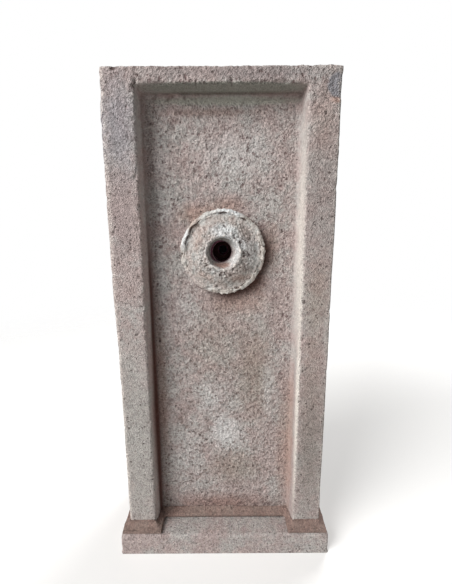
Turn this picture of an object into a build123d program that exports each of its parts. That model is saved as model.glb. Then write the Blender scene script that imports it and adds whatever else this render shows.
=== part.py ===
"""Cast concrete fountain stele on a plinth, with its rosette outlet and the water pipework in its open back.

The front faces -Y, +Z is up, and the origin is the middle of the foot on the ground. Sizes are in millimetres.
"""

import math
import os

from build123d import *

os.makedirs("parts", exist_ok=True)

# Driving dimensions: cast stele
stele_width = 350
stele_depth = 180
stele_height = 770
stile_width = 48
top_rail_height = 24
recess_depth = 35
recess_draft = 6.5
recess_corner_radius = 6
arris_radius = 3
web_thickness = 45
chase_wall = 55
chase_roof = 54
chase_draft = 2
chase_corner_radius = 12

# Driving dimensions: plinth, mortar bed and dowels
plinth_height = 40
plinth_overhang = 16
plinth_arris_radius = 5
notch_width = 90
notch_depth = 78
notch_corner_radius = 20
bed_thickness = 6
bed_fillet = 12
bed_feather = 0.5
bed_cove_steps = 3
dowel_radius = 6
dowel_in_stele = 50
dowel_in_plinth = 25
dowel_gap = 0.2

# Driving dimensions: rosette round the outlet
outlet_height = 548
outlet_radius = 17.5
rosette_radius = 62
rosette_edge = 5
rosette_moat_width = 5
rosette_mouth_radius = 27
rosette_crest_width = 3
rosette_crest_height = 27
rosette_crest_round = 1.5
rosette_throat_height = 9
rosette_dome = 3
rosette_mouth_hollow = 1.5
rosette_bed = 4
squeeze_width = 7.5
squeeze_lap = 2.5
squeeze_height = 14.5
squeeze_bulge = 2

# Driving dimensions: half inch pipework
thread_radius = 10.5
pipe_wall = 2.5
thread_gap = 0.05
thread_depth = 13
tap_thread_radius = 9.3

# Driving dimensions: wall flange behind the outlet
gasket_thickness = 2
gasket_margin = 1.5
flange_radius = 38
flange_plate = 6
flange_hub_wall = 4.5
flange_hub_length = 12
flange_tap_depth = 10
flange_fillet = 3
flange_screw_circle = 28.5
flange_screw_count = 4

# Driving dimensions: elbow
nipple_show = 4
elbow_reach = 28
elbow_wall = 3
elbow_bend = 14
elbow_bead_rise = 3
elbow_bead_length = 6

# Driving dimensions: wood screws in nylon plugs
plug_wall = 1.5
plug_length = 30
wood_screw_radius = 2
wood_screw_length = 32
wood_screw_tip = 6
screw_gap = 0.3
screw_head_radius = 4.2
screw_head_height = 2.6

# Driving dimensions: two-part pipe clips on studs
clip_names = ("lower", "upper")
clip_width = 14
clip_band = 3
clip_pipe_gap = 0.1
clip_split = 2
clip_ear_reach = 12.5
clip_screw_inset = 6
clip_screw_radius = 2.5
clip_boss_wall = 3
clip_boss_length = 9
clip_plate_radius = 20
clip_plate_thickness = 4
clip_plate_boss = 10
clip_plate_screw = 14
stud_radius = 5

# Driving dimensions: quarter-turn ball valve
valve_height = 130
valve_hex_wall = 3
valve_hex_length = 14
valve_barrel_wall = 3.5
valve_barrel_above = 20
valve_barrel_below = 16
ball_radius = 11
ball_gap = 0.3
ball_port_radius = 7
pocket_margin = 1.5
seat_outer_end = 11
adapter_hex_wall = 4
stem_radius = 4
stem_gap = 0.05
stem_collar_rise = 1.5
stem_collar_thickness = 1.7
stem_floor = 2.7
tang_width = 4.2
tang_length = 8
tang_depth = 2.8
tang_gap = 0.1
packing_wall = 2
packing_height = 4
boss_wall = 3
gland_thread = 4
gland_head = 3
gland_hex_wall = 1.5

# Driving dimensions: valve lever
lever_clearance = 1
lever_thickness = 3
lever_hub_radius = 14.5
lever_length = 88
lever_width = 16
lever_rise = 6
lever_rise_start = 18
lever_rise_length = 12
lever_flat = 5.5
lever_stud_radius = 3
lever_nut_hex = 10
lever_nut_height = 5
lever_stud_show = 1.5
lever_turn = 90
stop_radius = 10.7
stop_pin_radius = 1.5
stop_gap = 0.3
grip_length = 54
grip_wall_side = 2.5
grip_wall_face = 3
grip_corner = 4
grip_end = 3

# Driving dimensions: inlet nipple
inlet_hex_wall = 1.5
inlet_hex_length = 8
inlet_thread_length = 14

# Places across the depth, from the wall side to the front
near = 0.01
back_y = (stele_depth + plinth_overhang) / 2
front_y = back_y - stele_depth
middle_y = (back_y + front_y) / 2
recess_y = front_y + recess_depth
web_y = recess_y + web_thickness
chase_depth = back_y - web_y
flange_y = web_y + gasket_thickness
plate_y = flange_y + flange_plate
hub_y = plate_y + flange_hub_length
elbow_y = hub_y + nipple_show
riser_y = elbow_y + elbow_reach

# Heights, and sizes across the width
stele_base = plinth_height + bed_thickness
bed_cove = []
for turn in range(bed_cove_steps + 1):
    cove_angle = math.radians(90 * turn / bed_cove_steps)
    cove_reach = max(bed_fillet * (1 - math.sin(cove_angle)), bed_feather)
    bed_cove.append((cove_reach, bed_fillet * (1 - math.cos(cove_angle))))
recess_width = stele_width - 2 * stile_width
recess_height = stele_height - top_rail_height
chase_width = stele_width - 2 * chase_wall
chase_height = stele_height - chase_roof
dowel_x = (stele_width - chase_wall) / 2
elbow_bottom = outlet_height - elbow_reach
valve_top = valve_height + valve_barrel_above + valve_hex_length
valve_bottom = valve_height - valve_barrel_below - valve_hex_length
riser_bottom = valve_top - thread_depth
inlet_bottom = valve_bottom - inlet_hex_length - inlet_thread_length

# Radii of pieces that fit one another
pipe_bore = thread_radius - pipe_wall
thread_seat = thread_radius + thread_gap
plug_radius = wood_screw_radius + thread_gap + plug_wall
elbow_radius = thread_radius + elbow_wall
elbow_bead = elbow_radius + elbow_bead_rise
pocket_radius = ball_radius + pocket_margin
barrel_radius = pocket_radius + valve_barrel_wall
collar_radius = stem_radius + stem_collar_rise
seat_inner_end = collar_radius + ball_gap
packing_radius = stem_radius + packing_wall

# Screw places, as seen from behind
screw_step = 360 / flange_screw_count
screw_angles = [math.radians(screw_step * (i + 0.5)) for i in range(flange_screw_count)]
flange_screw_spots = [
    (flange_screw_circle * math.cos(angle), outlet_height + flange_screw_circle * math.sin(angle))
    for angle in screw_angles
]
clip_step = (elbow_bottom - valve_top) / (len(clip_names) + 1)
clip_heights = [valve_top + clip_step * (i + 1) for i in range(len(clip_names))]
clip_plate_spots = [(side * clip_plate_screw, z) for z in clip_heights for side in (-1, 1)]
ring_inner = thread_radius + clip_pipe_gap
ring_outer = ring_inner + clip_band
ear_reach = ring_outer + clip_ear_reach
ear_spots = [(side * (ear_reach - clip_screw_inset), z) for z in clip_heights for side in (-1, 1)]

# Distances out along the valve stem from the ball's centre
collar_start = ball_radius + ball_gap
collar_end = collar_start + stem_collar_thickness
packing_start = collar_end + ball_gap + stem_floor
gland_start = packing_start + packing_height
boss_end = gland_start + gland_thread
lever_start = boss_end + gland_head + lever_clearance
lever_end = lever_start + lever_thickness
stop_angle = 270 + lever_turn / 2


def facing_back(y):
    """The plane across the depth at y, seen from behind: its normal is +Y and its second axis is up."""
    return Plane.back.offset(y)


def on_panel(radius, height):
    """A profile point at a radius from the outlet's axis and a height in front of the recess floor."""
    return (radius, recess_y - height)


def outlet_axis():
    """The line that the outlet's turned pieces share."""
    return Axis((0, 0, outlet_height), (0, 1, 0))


def edges_at_depth(part, y):
    """The edges of the stele at a depth, apart from those round its foot."""
    edges = part.edges().filter_by_position(Axis.Y, y - near, y + near)
    return edges.filter_by_position(Axis.Z, stele_base + near, stele_base + stele_height)


# Stele: one casting with a drafted front recess, a web with the outlet bore, and an open chase behind it
with BuildPart() as stele:
    with BuildSketch(Plane.XY.offset(stele_base)):
        with Locations((0, middle_y)):
            Rectangle(stele_width, stele_depth)
    extrude(amount=stele_height)
    with BuildSketch(Plane.front.offset(-front_y)):
        with Locations((0, stele_base + recess_height)):
            Rectangle(recess_width, recess_height + recess_depth, align=(Align.CENTER, Align.MAX))
    extrude(amount=-recess_depth, taper=recess_draft, mode=Mode.SUBTRACT)
    with BuildSketch(facing_back(back_y)):
        with Locations((0, stele_base + chase_height)):
            Rectangle(chase_width, chase_height + chase_depth, align=(Align.CENTER, Align.MAX))
    extrude(amount=-chase_depth, taper=chase_draft, mode=Mode.SUBTRACT)
    fillet(edges_at_depth(stele, recess_y), recess_corner_radius)
    fillet(edges_at_depth(stele, web_y), chase_corner_radius)
    front_arrises = edges_at_depth(stele, front_y)
    top_arrises = stele.edges().group_by(Axis.Z)[-1]
    fillet(front_arrises + (top_arrises - front_arrises), arris_radius)
    with BuildSketch(facing_back(web_y)):
        with Locations((0, outlet_height)):
            Circle(outlet_radius)
    extrude(amount=-web_thickness, mode=Mode.SUBTRACT)
    with BuildSketch(facing_back(web_y)):
        with Locations(*flange_screw_spots, *clip_plate_spots):
            Circle(plug_radius + thread_gap)
    extrude(amount=-plug_length, mode=Mode.SUBTRACT)
    with BuildSketch(Plane.XY.offset(stele_base)):
        with Locations((-dowel_x, middle_y), (dowel_x, middle_y)):
            Circle(dowel_radius + dowel_gap)
    extrude(amount=dowel_in_stele, mode=Mode.SUBTRACT)
stele.part.label = "stele"
export_step(stele.part, "parts/stele.step")

# Plinth: a slab that stands out in front and at the sides, notched at the back for the feed pipe
with BuildPart() as plinth:
    with BuildSketch():
        Rectangle(stele_width + 2 * plinth_overhang, stele_depth + plinth_overhang)
        with Locations((0, back_y)):
            Rectangle(notch_width, 2 * notch_depth, mode=Mode.SUBTRACT)
    extrude(amount=plinth_height)
    notch_edges = plinth.edges().filter_by(Axis.Z).filter_by_position(Axis.X, -notch_width, notch_width)
    fillet(notch_edges.sort_by(Axis.Y)[:2], notch_corner_radius)
    top_edges = plinth.edges().group_by(Axis.Z)[-1]
    fillet(top_edges.sort_by(Axis.Y)[0], plinth_arris_radius)
    side_edges = plinth.edges().group_by(Axis.Z)[-1].filter_by(Axis.Y).sort_by(Axis.X)
    fillet([side_edges[0], side_edges[-1]], plinth_arris_radius)
    with BuildSketch(Plane.XY.offset(plinth_height)):
        with Locations((-dowel_x, middle_y), (dowel_x, middle_y)):
            Circle(dowel_radius + dowel_gap)
    extrude(amount=-dowel_in_plinth, mode=Mode.SUBTRACT)
plinth.part.label = "plinth"
export_step(plinth.part, "parts/plinth.step")

# Mortar bed: a layer under the stele with a sloped fillet squeezed out round its foot
with BuildPart() as mortar_bed:
    with BuildSketch(Plane.XY.offset(plinth_height)) as bed_outline:
        with Locations((0, middle_y)):
            Rectangle(stele_width, stele_depth)
        with Locations((0, front_y)):
            Rectangle(recess_width, 2 * recess_depth, mode=Mode.SUBTRACT)
        with Locations((0, back_y)):
            Rectangle(chase_width, 2 * chase_depth, mode=Mode.SUBTRACT)
        offset(amount=bed_fillet, kind=Kind.INTERSECTION)
    extrude(amount=bed_thickness)
    for low, high in zip(bed_cove, bed_cove[1:]):
        with BuildSketch(Plane.XY.offset(stele_base + low[1])):
            add(bed_outline.sketch)
            if low[0] < bed_fillet:
                offset(amount=low[0] - bed_fillet, kind=Kind.INTERSECTION)
        extrude(amount=high[1] - low[1], taper=math.degrees(math.atan2(low[0] - high[0], high[1] - low[1])))
    add(stele.part, mode=Mode.SUBTRACT)
    split(bisect_by=facing_back(back_y), keep=Keep.BOTTOM)
    with BuildSketch(Plane.XY.offset(plinth_height)):
        with Locations((-dowel_x, middle_y), (dowel_x, middle_y)):
            Circle(dowel_radius + dowel_gap)
    extrude(amount=bed_thickness + bed_fillet, mode=Mode.SUBTRACT)
mortar_bed.part.label = "mortar_bed"
export_step(mortar_bed.part, "parts/mortar_bed.step")

# Dowels that pin the stele's side walls to the plinth
for name, x in (("dowel_left", -dowel_x), ("dowel_right", dowel_x)):
    with BuildPart() as dowel:
        with BuildSketch(Plane.XY.offset(plinth_height - dowel_in_plinth)):
            with Locations((x, middle_y)):
                Circle(dowel_radius)
        extrude(amount=dowel_in_plinth + bed_thickness + dowel_in_stele)
    dowel.part.label = name
    export_step(dowel.part, f"parts/{name}.step")

# Rosette: a turned disc that rises in a dome from its flat edge to a crest round a funnel mouth
with BuildPart() as rosette:
    with BuildSketch(Plane.XY.offset(outlet_height)):
        with BuildLine():
            crest_side = rosette_crest_height - rosette_crest_round
            back_inner = on_panel(outlet_radius, rosette_bed)
            back_outer = on_panel(rosette_radius, rosette_bed)
            rim = on_panel(rosette_radius, rosette_bed + rosette_edge)
            moat = on_panel(rosette_radius - rosette_moat_width, rosette_bed + rosette_edge)
            crest_outer = on_panel(rosette_mouth_radius + rosette_crest_width, crest_side)
            crest_top = on_panel(rosette_mouth_radius + rosette_crest_width / 2, rosette_crest_height)
            mouth = on_panel(rosette_mouth_radius, crest_side)
            throat = on_panel(outlet_radius, rosette_throat_height)
            Polyline(throat, back_inner, back_outer, rim, moat)
            SagittaArc(moat, crest_outer, rosette_dome)
            ThreePointArc(crest_outer, crest_top, mouth)
            SagittaArc(mouth, throat, -rosette_mouth_hollow)
        make_face()
    revolve(axis=outlet_axis())
rosette.part.label = "rosette"
export_step(rosette.part, "parts/rosette.step")

# Rosette mortar: the bed behind the disc and the bead squeezed out round its edge
with BuildPart() as rosette_mortar:
    with BuildSketch(Plane.XY.offset(outlet_height)):
        with BuildLine():
            inner_back = on_panel(outlet_radius, 0)
            outer_back = on_panel(rosette_radius + squeeze_width, 0)
            outer_rim = on_panel(rosette_radius + squeeze_width, squeeze_height / 2)
            bead_top = on_panel(rosette_radius + squeeze_width / 2, squeeze_height)
            lap_top = on_panel(rosette_radius - squeeze_lap, squeeze_height - squeeze_bulge)
            lap_foot = on_panel(rosette_radius - squeeze_lap, rosette_bed)
            inner_front = on_panel(outlet_radius, rosette_bed)
            Line(outer_back, outer_rim)
            ThreePointArc(outer_rim, bead_top, lap_top)
            Polyline(lap_top, lap_foot, inner_front, inner_back, outer_back)
        make_face()
    revolve(axis=outlet_axis())
    add(rosette.part, mode=Mode.SUBTRACT)
rosette_mortar.part.label = "rosette_mortar"
export_step(rosette_mortar.part, "parts/rosette_mortar.step")

# Rubber gasket between the wall flange and the web
with BuildPart() as flange_gasket:
    with BuildSketch(facing_back(web_y)):
        with Locations((0, outlet_height)):
            Circle(flange_radius)
            Circle(outlet_radius + gasket_margin, mode=Mode.SUBTRACT)
        with Locations(*flange_screw_spots):
            Circle(wood_screw_radius + screw_gap, mode=Mode.SUBTRACT)
    extrude(amount=gasket_thickness)
flange_gasket.part.label = "flange_gasket"
export_step(flange_gasket.part, "parts/flange_gasket.step")

# Wall flange: a round plate with a hub, tapped from the front for a spout and from behind for the nipple
with BuildPart() as wall_flange:
    with BuildSketch(facing_back(flange_y)):
        with Locations((0, outlet_height)):
            Circle(flange_radius)
    extrude(amount=flange_plate)
    with BuildSketch(facing_back(plate_y)):
        with Locations((0, outlet_height)):
            Circle(thread_radius + flange_hub_wall)
    extrude(amount=flange_hub_length)
    plate_edges = wall_flange.edges().filter_by_position(Axis.Y, plate_y - near, plate_y + near)
    fillet(plate_edges.sort_by(SortBy.RADIUS)[0], flange_fillet)
    with BuildSketch(facing_back(flange_y)):
        with Locations((0, outlet_height)):
            Circle(tap_thread_radius)
    extrude(amount=flange_tap_depth, mode=Mode.SUBTRACT)
    with BuildSketch(facing_back(hub_y)):
        with Locations((0, outlet_height)):
            Circle(thread_seat)
    extrude(amount=flange_y + flange_tap_depth - hub_y, mode=Mode.SUBTRACT)
    with BuildSketch(facing_back(flange_y)):
        with Locations(*flange_screw_spots):
            Circle(wood_screw_radius + screw_gap)
    extrude(amount=flange_plate, mode=Mode.SUBTRACT)
wall_flange.part.label = "wall_flange"
export_step(wall_flange.part, "parts/wall_flange.step")


def make_wood_screws(name, spots, head_y):
    """Round-headed wood screws driven forwards from behind, with the underside of their heads at head_y."""
    tip_angle = math.degrees(math.atan(wood_screw_radius / wood_screw_tip))
    tip_y = head_y - wood_screw_length + wood_screw_tip
    with BuildPart() as screws:
        with BuildSketch(facing_back(head_y)):
            with Locations(*spots):
                Circle(screw_head_radius)
        extrude(amount=screw_head_height)
        fillet(screws.edges().group_by(Axis.Y)[-1], screw_head_height / 2)
        with BuildSketch(facing_back(tip_y)):
            with Locations(*spots):
                Circle(wood_screw_radius)
        extrude(amount=head_y - tip_y)
        with BuildSketch(facing_back(tip_y)):
            with Locations(*spots):
                Circle(wood_screw_radius)
        extrude(amount=near - wood_screw_tip, taper=tip_angle)
    screws.part.label = name
    export_step(screws.part, f"parts/{name}.step")


def make_wall_plugs(name, spots):
    """Nylon plugs in the web, flush with its rear face."""
    with BuildPart() as plugs:
        with BuildSketch(facing_back(web_y)):
            with Locations(*spots):
                Circle(plug_radius)
                Circle(wood_screw_radius + thread_gap, mode=Mode.SUBTRACT)
        extrude(amount=-plug_length)
    plugs.part.label = name
    export_step(plugs.part, f"parts/{name}.step")


make_wood_screws("flange_screws", flange_screw_spots, plate_y)
make_wall_plugs("flange_plugs", flange_screw_spots)

# Nipple between the flange and the elbow
with BuildPart() as spout_nipple:
    with BuildSketch(facing_back(flange_y + flange_tap_depth)):
        with Locations((0, outlet_height)):
            Circle(thread_radius)
            Circle(pipe_bore, mode=Mode.SUBTRACT)
    extrude(amount=elbow_y + thread_depth - flange_y - flange_tap_depth)
spout_nipple.part.label = "spout_nipple"
export_step(spout_nipple.part, "parts/spout_nipple.step")


def extrude_at_elbow_ends(radius, length, mode=Mode.ADD):
    """A round step of the elbow at each of its two mouths."""
    with BuildSketch(facing_back(elbow_y)) as outlet_mouth:
        with Locations((0, outlet_height)):
            Circle(radius)
    extrude(outlet_mouth.sketch, amount=length, mode=mode)
    with BuildSketch(Plane.XY.offset(elbow_bottom)) as riser_mouth:
        with Locations((0, riser_y)):
            Circle(radius)
    extrude(riser_mouth.sketch, amount=length, mode=mode)


# Elbow: a banded bend from the riser to the outlet
with BuildPart() as elbow:
    with BuildLine() as elbow_path:
        FilletPolyline(
            (0, elbow_y, outlet_height),
            (0, riser_y, outlet_height),
            (0, riser_y, elbow_bottom),
            radius=elbow_bend,
        )
    with BuildSketch(facing_back(elbow_y)):
        with Locations((0, outlet_height)):
            Circle(elbow_radius)
    sweep(path=elbow_path.line)
    extrude_at_elbow_ends(elbow_bead, elbow_bead_length)
    with BuildSketch(facing_back(elbow_y)):
        with Locations((0, outlet_height)):
            Circle(pipe_bore)
    sweep(path=elbow_path.line, mode=Mode.SUBTRACT)
    extrude_at_elbow_ends(thread_seat, thread_depth, mode=Mode.SUBTRACT)
elbow.part.label = "elbow"
export_step(elbow.part, "parts/elbow.step")

# Riser pipe from the valve to the elbow
with BuildPart() as riser_pipe:
    with BuildSketch(Plane.XY.offset(riser_bottom)):
        with Locations((0, riser_y)):
            Circle(thread_radius)
            Circle(pipe_bore, mode=Mode.SUBTRACT)
    extrude(amount=elbow_bottom + thread_depth - riser_bottom)
riser_pipe.part.label = "riser_pipe"
export_step(riser_pipe.part, "parts/riser_pipe.step")

make_wood_screws("clip_plate_screws", clip_plate_spots, web_y + clip_plate_thickness)
make_wall_plugs("clip_plugs", clip_plate_spots)


def make_clip_plate(name, z):
    """The plate that a pipe clip stands on, with a tapped boss for its stud."""
    boss_y = web_y + clip_plate_thickness
    with BuildPart() as plate:
        with BuildSketch(facing_back(web_y)):
            with Locations((0, z)):
                Circle(clip_plate_radius)
            with Locations((-clip_plate_screw, z), (clip_plate_screw, z)):
                Circle(wood_screw_radius + screw_gap, mode=Mode.SUBTRACT)
        extrude(amount=clip_plate_thickness)
        with BuildSketch(facing_back(boss_y)):
            with Locations((0, z)):
                Circle(stud_radius + clip_boss_wall)
                Circle(stud_radius + thread_gap, mode=Mode.SUBTRACT)
        extrude(amount=clip_plate_boss)
    plate.part.label = name
    export_step(plate.part, f"parts/{name}.step")


def make_clip_stud(name, z):
    """The stud between a clip's plate and its ring."""
    start_y = web_y + clip_plate_thickness
    with BuildPart() as stud:
        with BuildSketch(facing_back(start_y)):
            with Locations((0, z)):
                Circle(stud_radius)
        extrude(amount=riser_y - ring_outer - start_y)
    stud.part.label = name
    export_step(stud.part, f"parts/{name}.step")


def make_ring_half(name, z, side):
    """Half a pipe ring with two ears: side is -1 for the half that the stud holds and 1 for the rear half."""
    hole_gap = screw_gap if side > 0 else thread_gap
    boss_y = riser_y - ring_outer - clip_boss_length
    with BuildPart() as half:
        with BuildSketch(Plane.XY.offset(z - clip_width / 2)):
            with Locations((0, riser_y)):
                Circle(ring_outer)
                Rectangle(2 * ear_reach, 2 * clip_band + clip_split)
            with Locations((0, riser_y - side * (ring_outer - clip_split / 2))):
                Rectangle(2 * ear_reach, 2 * ring_outer, mode=Mode.SUBTRACT)
        extrude(amount=clip_width)
        if side < 0:
            with BuildSketch(facing_back(boss_y)):
                with Locations((0, z)):
                    Circle(stud_radius + clip_boss_wall)
            extrude(amount=clip_boss_length + clip_band)
            with BuildSketch(facing_back(boss_y)):
                with Locations((0, z)):
                    Circle(stud_radius + thread_gap)
            extrude(amount=clip_boss_length, mode=Mode.SUBTRACT)
        with BuildSketch(Plane.XY.offset(z)):
            with Locations((0, riser_y)):
                Circle(ring_inner)
        extrude(amount=clip_width, both=True, mode=Mode.SUBTRACT)
        with BuildSketch(facing_back(riser_y)):
            with Locations(*ear_spots):
                Circle(clip_screw_radius + hole_gap)
        extrude(amount=side * ring_outer, mode=Mode.SUBTRACT)
    half.part.label = name
    export_step(half.part, f"parts/{name}.step")


for place, height in zip(clip_names, clip_heights):
    make_clip_plate(f"clip_plate_{place}", height)
    make_clip_stud(f"clip_stud_{place}", height)
    make_ring_half(f"clip_inner_half_{place}", height, -1)
    make_ring_half(f"clip_outer_half_{place}", height, 1)

# Machine screws that draw the ring halves together
with BuildPart() as clip_screws:
    ear_back_y = riser_y + clip_split / 2 + clip_band
    with BuildSketch(facing_back(ear_back_y)):
        with Locations(*ear_spots):
            Circle(screw_head_radius)
    extrude(amount=screw_head_height)
    with BuildSketch(facing_back(ear_back_y)):
        with Locations(*ear_spots):
            Circle(clip_screw_radius)
    extrude(amount=-clip_split - 2 * clip_band)
clip_screws.part.label = "clip_screws"
export_step(clip_screws.part, "parts/clip_screws.step")


def level_disc(z, radius, length, mode=Mode.ADD):
    """A round step of a piece on the riser's axis, from z upwards."""
    with BuildSketch(Plane.XY.offset(z)) as outline:
        with Locations((0, riser_y)):
            Circle(radius)
    extrude(outline.sketch, amount=length, mode=mode)


def level_hexagon(z, half_width, length):
    """A hexagon for a spanner on the riser's axis, from z upwards."""
    with BuildSketch(Plane.XY.offset(z)) as outline:
        with Locations((0, riser_y)):
            RegularPolygon(half_width, 6, major_radius=False)
    extrude(outline.sketch, amount=length)


def stem_disc(start, radius, length, mode=Mode.ADD):
    """A round step of a piece on the valve stem's axis, from a distance behind the ball's centre."""
    with BuildSketch(facing_back(riser_y + start)) as outline:
        with Locations((0, valve_height)):
            Circle(radius)
    extrude(outline.sketch, amount=length, mode=mode)


def stem_hexagon(start, half_width, length):
    """A hexagon for a spanner on the valve stem's axis."""
    with BuildSketch(facing_back(riser_y + start)) as outline:
        with Locations((0, valve_height)):
            RegularPolygon(half_width, 6, major_radius=False)
    extrude(outline.sketch, amount=length)


# Valve body: hexagon end, barrel round the ball, and the stem's boss with a stop pin beside it
with BuildPart() as valve_body:
    level_hexagon(valve_bottom, thread_radius + valve_hex_wall, valve_hex_length)
    level_disc(valve_height - valve_barrel_below, barrel_radius, valve_barrel_below + valve_barrel_above)
    stem_disc(0, packing_radius + boss_wall, boss_end)
    with BuildSketch(facing_back(riser_y)):
        with Locations((0, valve_height)):
            with PolarLocations(stop_radius, 1, start_angle=stop_angle):
                Circle(stop_pin_radius)
    extrude(amount=lever_end)
    level_disc(valve_bottom, ball_port_radius, valve_height - valve_bottom, mode=Mode.SUBTRACT)
    level_disc(valve_bottom, thread_seat, inlet_thread_length, mode=Mode.SUBTRACT)
    pocket_length = seat_outer_end + valve_barrel_above
    level_disc(valve_height - seat_outer_end, pocket_radius, pocket_length, mode=Mode.SUBTRACT)
    stem_disc(0, collar_radius + ball_gap, collar_end + ball_gap, mode=Mode.SUBTRACT)
    stem_disc(0, stem_radius + stem_gap, boss_end, mode=Mode.SUBTRACT)
    stem_disc(packing_start, packing_radius + thread_gap, boss_end - packing_start, mode=Mode.SUBTRACT)
valve_body.part.label = "valve_body"
export_step(valve_body.part, "parts/valve_body.step")

# Valve adapter: screws into the barrel above the ball and takes the riser
with BuildPart() as valve_adapter:
    spigot_bottom = valve_height + seat_outer_end
    spigot_top = valve_height + valve_barrel_above
    level_disc(spigot_bottom, pocket_radius - thread_gap, spigot_top - spigot_bottom)
    level_hexagon(spigot_top, thread_radius + adapter_hex_wall, valve_hex_length)
    level_disc(spigot_bottom, ball_port_radius, valve_top - spigot_bottom, mode=Mode.SUBTRACT)
    level_disc(riser_bottom, thread_seat, thread_depth, mode=Mode.SUBTRACT)
valve_adapter.part.label = "valve_adapter"
export_step(valve_adapter.part, "parts/valve_adapter.step")

# Seat rings that the ball turns between
for name, seat_z in (
    ("valve_seat_lower", valve_height - seat_outer_end),
    ("valve_seat_upper", valve_height + seat_inner_end),
):
    with BuildPart() as valve_seat:
        seat_height = seat_outer_end - seat_inner_end
        level_disc(seat_z, pocket_radius - thread_gap, seat_height)
        level_disc(seat_z, ball_port_radius, seat_height, mode=Mode.SUBTRACT)
        with Locations((0, riser_y, valve_height)):
            Sphere(ball_radius + ball_gap, mode=Mode.SUBTRACT)
    valve_seat.part.label = name
    export_step(valve_seat.part, f"parts/{name}.step")

# Ball with its water way and the slot for the stem's tang
with BuildPart() as valve_ball:
    with Locations((0, riser_y, valve_height)):
        Sphere(ball_radius)
    level_disc(valve_height - ball_radius, ball_port_radius, 2 * ball_radius, mode=Mode.SUBTRACT)
    with BuildSketch(facing_back(riser_y + ball_radius - tang_depth - tang_gap)):
        with Locations((0, valve_height)):
            Rectangle(tang_width + 2 * tang_gap, 2 * ball_radius)
    extrude(amount=ball_radius, mode=Mode.SUBTRACT)
valve_ball.part.label = "valve_ball"
export_step(valve_ball.part, "parts/valve_ball.step")

# Stem: tang, collar, shaft, two flats for the lever and a threaded end
with BuildPart() as valve_stem:
    with BuildSketch(facing_back(riser_y + ball_radius - tang_depth)):
        with Locations((0, valve_height)):
            Rectangle(tang_width, tang_length)
    extrude(amount=ball_gap + tang_depth)
    stem_disc(collar_start, collar_radius, stem_collar_thickness)
    stem_disc(collar_end, stem_radius, lever_start - collar_end)
    with BuildSketch(facing_back(riser_y + lever_start)):
        with Locations((0, valve_height)):
            Circle(stem_radius)
            Rectangle(lever_flat, 2 * stem_radius, mode=Mode.INTERSECT)
    extrude(amount=lever_thickness)
    stem_disc(lever_end, lever_stud_radius, lever_nut_height + lever_stud_show)
valve_stem.part.label = "valve_stem"
export_step(valve_stem.part, "parts/valve_stem.step")

# Packing ring round the stem
with BuildPart() as stem_packing:
    stem_disc(packing_start, packing_radius, packing_height)
    stem_disc(packing_start, stem_radius + stem_gap, packing_height, mode=Mode.SUBTRACT)
stem_packing.part.label = "stem_packing"
export_step(stem_packing.part, "parts/stem_packing.step")

# Gland nut that presses the packing down
with BuildPart() as gland_nut:
    stem_disc(gland_start, packing_radius, gland_thread)
    stem_hexagon(boss_end, packing_radius + gland_hex_wall, gland_head)
    stem_disc(gland_start, stem_radius + stem_gap, gland_thread + gland_head, mode=Mode.SUBTRACT)
gland_nut.part.label = "gland_nut"
export_step(gland_nut.part, "parts/gland_nut.step")

# Lever: a cranked strip with a round hub, whose curved slot runs on the stop pin
with BuildPart() as valve_lever:
    hub_low = valve_height - lever_hub_radius
    crank_low = valve_height + lever_rise_start
    crank_high = crank_low + lever_rise_length
    tip = valve_height + lever_length
    hub_face = riser_y + lever_start
    arm_face = hub_face + lever_rise
    with BuildSketch(Plane.YZ):
        with BuildLine():
            Polyline(
                (hub_face, hub_low),
                (hub_face, crank_low),
                (arm_face, crank_high),
                (arm_face, tip),
                (arm_face + lever_thickness, tip),
                (arm_face + lever_thickness, crank_high),
                (hub_face + lever_thickness, crank_low),
                (hub_face + lever_thickness, hub_low),
                close=True,
            )
        make_face()
    extrude(amount=lever_hub_radius, both=True)
    with BuildSketch(facing_back(hub_face)):
        with Locations((0, valve_height)):
            Circle(lever_hub_radius)
            Rectangle(lever_width, lever_length, align=(Align.CENTER, Align.MIN))
    extrude(amount=lever_rise + lever_thickness, mode=Mode.INTERSECT)
    with BuildSketch(facing_back(hub_face)):
        with Locations((0, valve_height)):
            Circle(stem_radius + stem_gap)
            Rectangle(lever_flat + 2 * stem_gap, 3 * stem_radius, mode=Mode.INTERSECT)
    extrude(amount=lever_thickness, mode=Mode.SUBTRACT)
    with BuildSketch(facing_back(hub_face)):
        with BuildLine() as slot_path:
            CenterArc((0, valve_height), stop_radius, stop_angle - lever_turn, lever_turn)
        SlotArc(slot_path.edge(), 2 * (stop_pin_radius + stop_gap))
    extrude(amount=lever_thickness, mode=Mode.SUBTRACT)
valve_lever.part.label = "valve_lever"
export_step(valve_lever.part, "parts/valve_lever.step")

# Grip: a dipped sleeve over the lever's outer end
with BuildPart() as lever_grip:
    with BuildSketch(Plane.XY.offset(tip + grip_end - grip_length)):
        with Locations((0, arm_face + lever_thickness / 2)):
            grip_width = lever_width + 2 * grip_wall_side
            RectangleRounded(grip_width, lever_thickness + 2 * grip_wall_face, grip_corner)
    extrude(amount=grip_length)
    fillet(lever_grip.edges().group_by(Axis.Z)[-1], grip_end / 2)
    add(valve_lever.part, mode=Mode.SUBTRACT)
lever_grip.part.label = "lever_grip"
export_step(lever_grip.part, "parts/lever_grip.step")

# Nut that holds the lever on the stem
with BuildPart() as lever_nut:
    stem_hexagon(lever_end, lever_nut_hex / 2, lever_nut_height)
    stem_disc(lever_end, lever_stud_radius + thread_gap, lever_nut_height, mode=Mode.SUBTRACT)
lever_nut.part.label = "lever_nut"
export_step(lever_nut.part, "parts/lever_nut.step")

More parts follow.
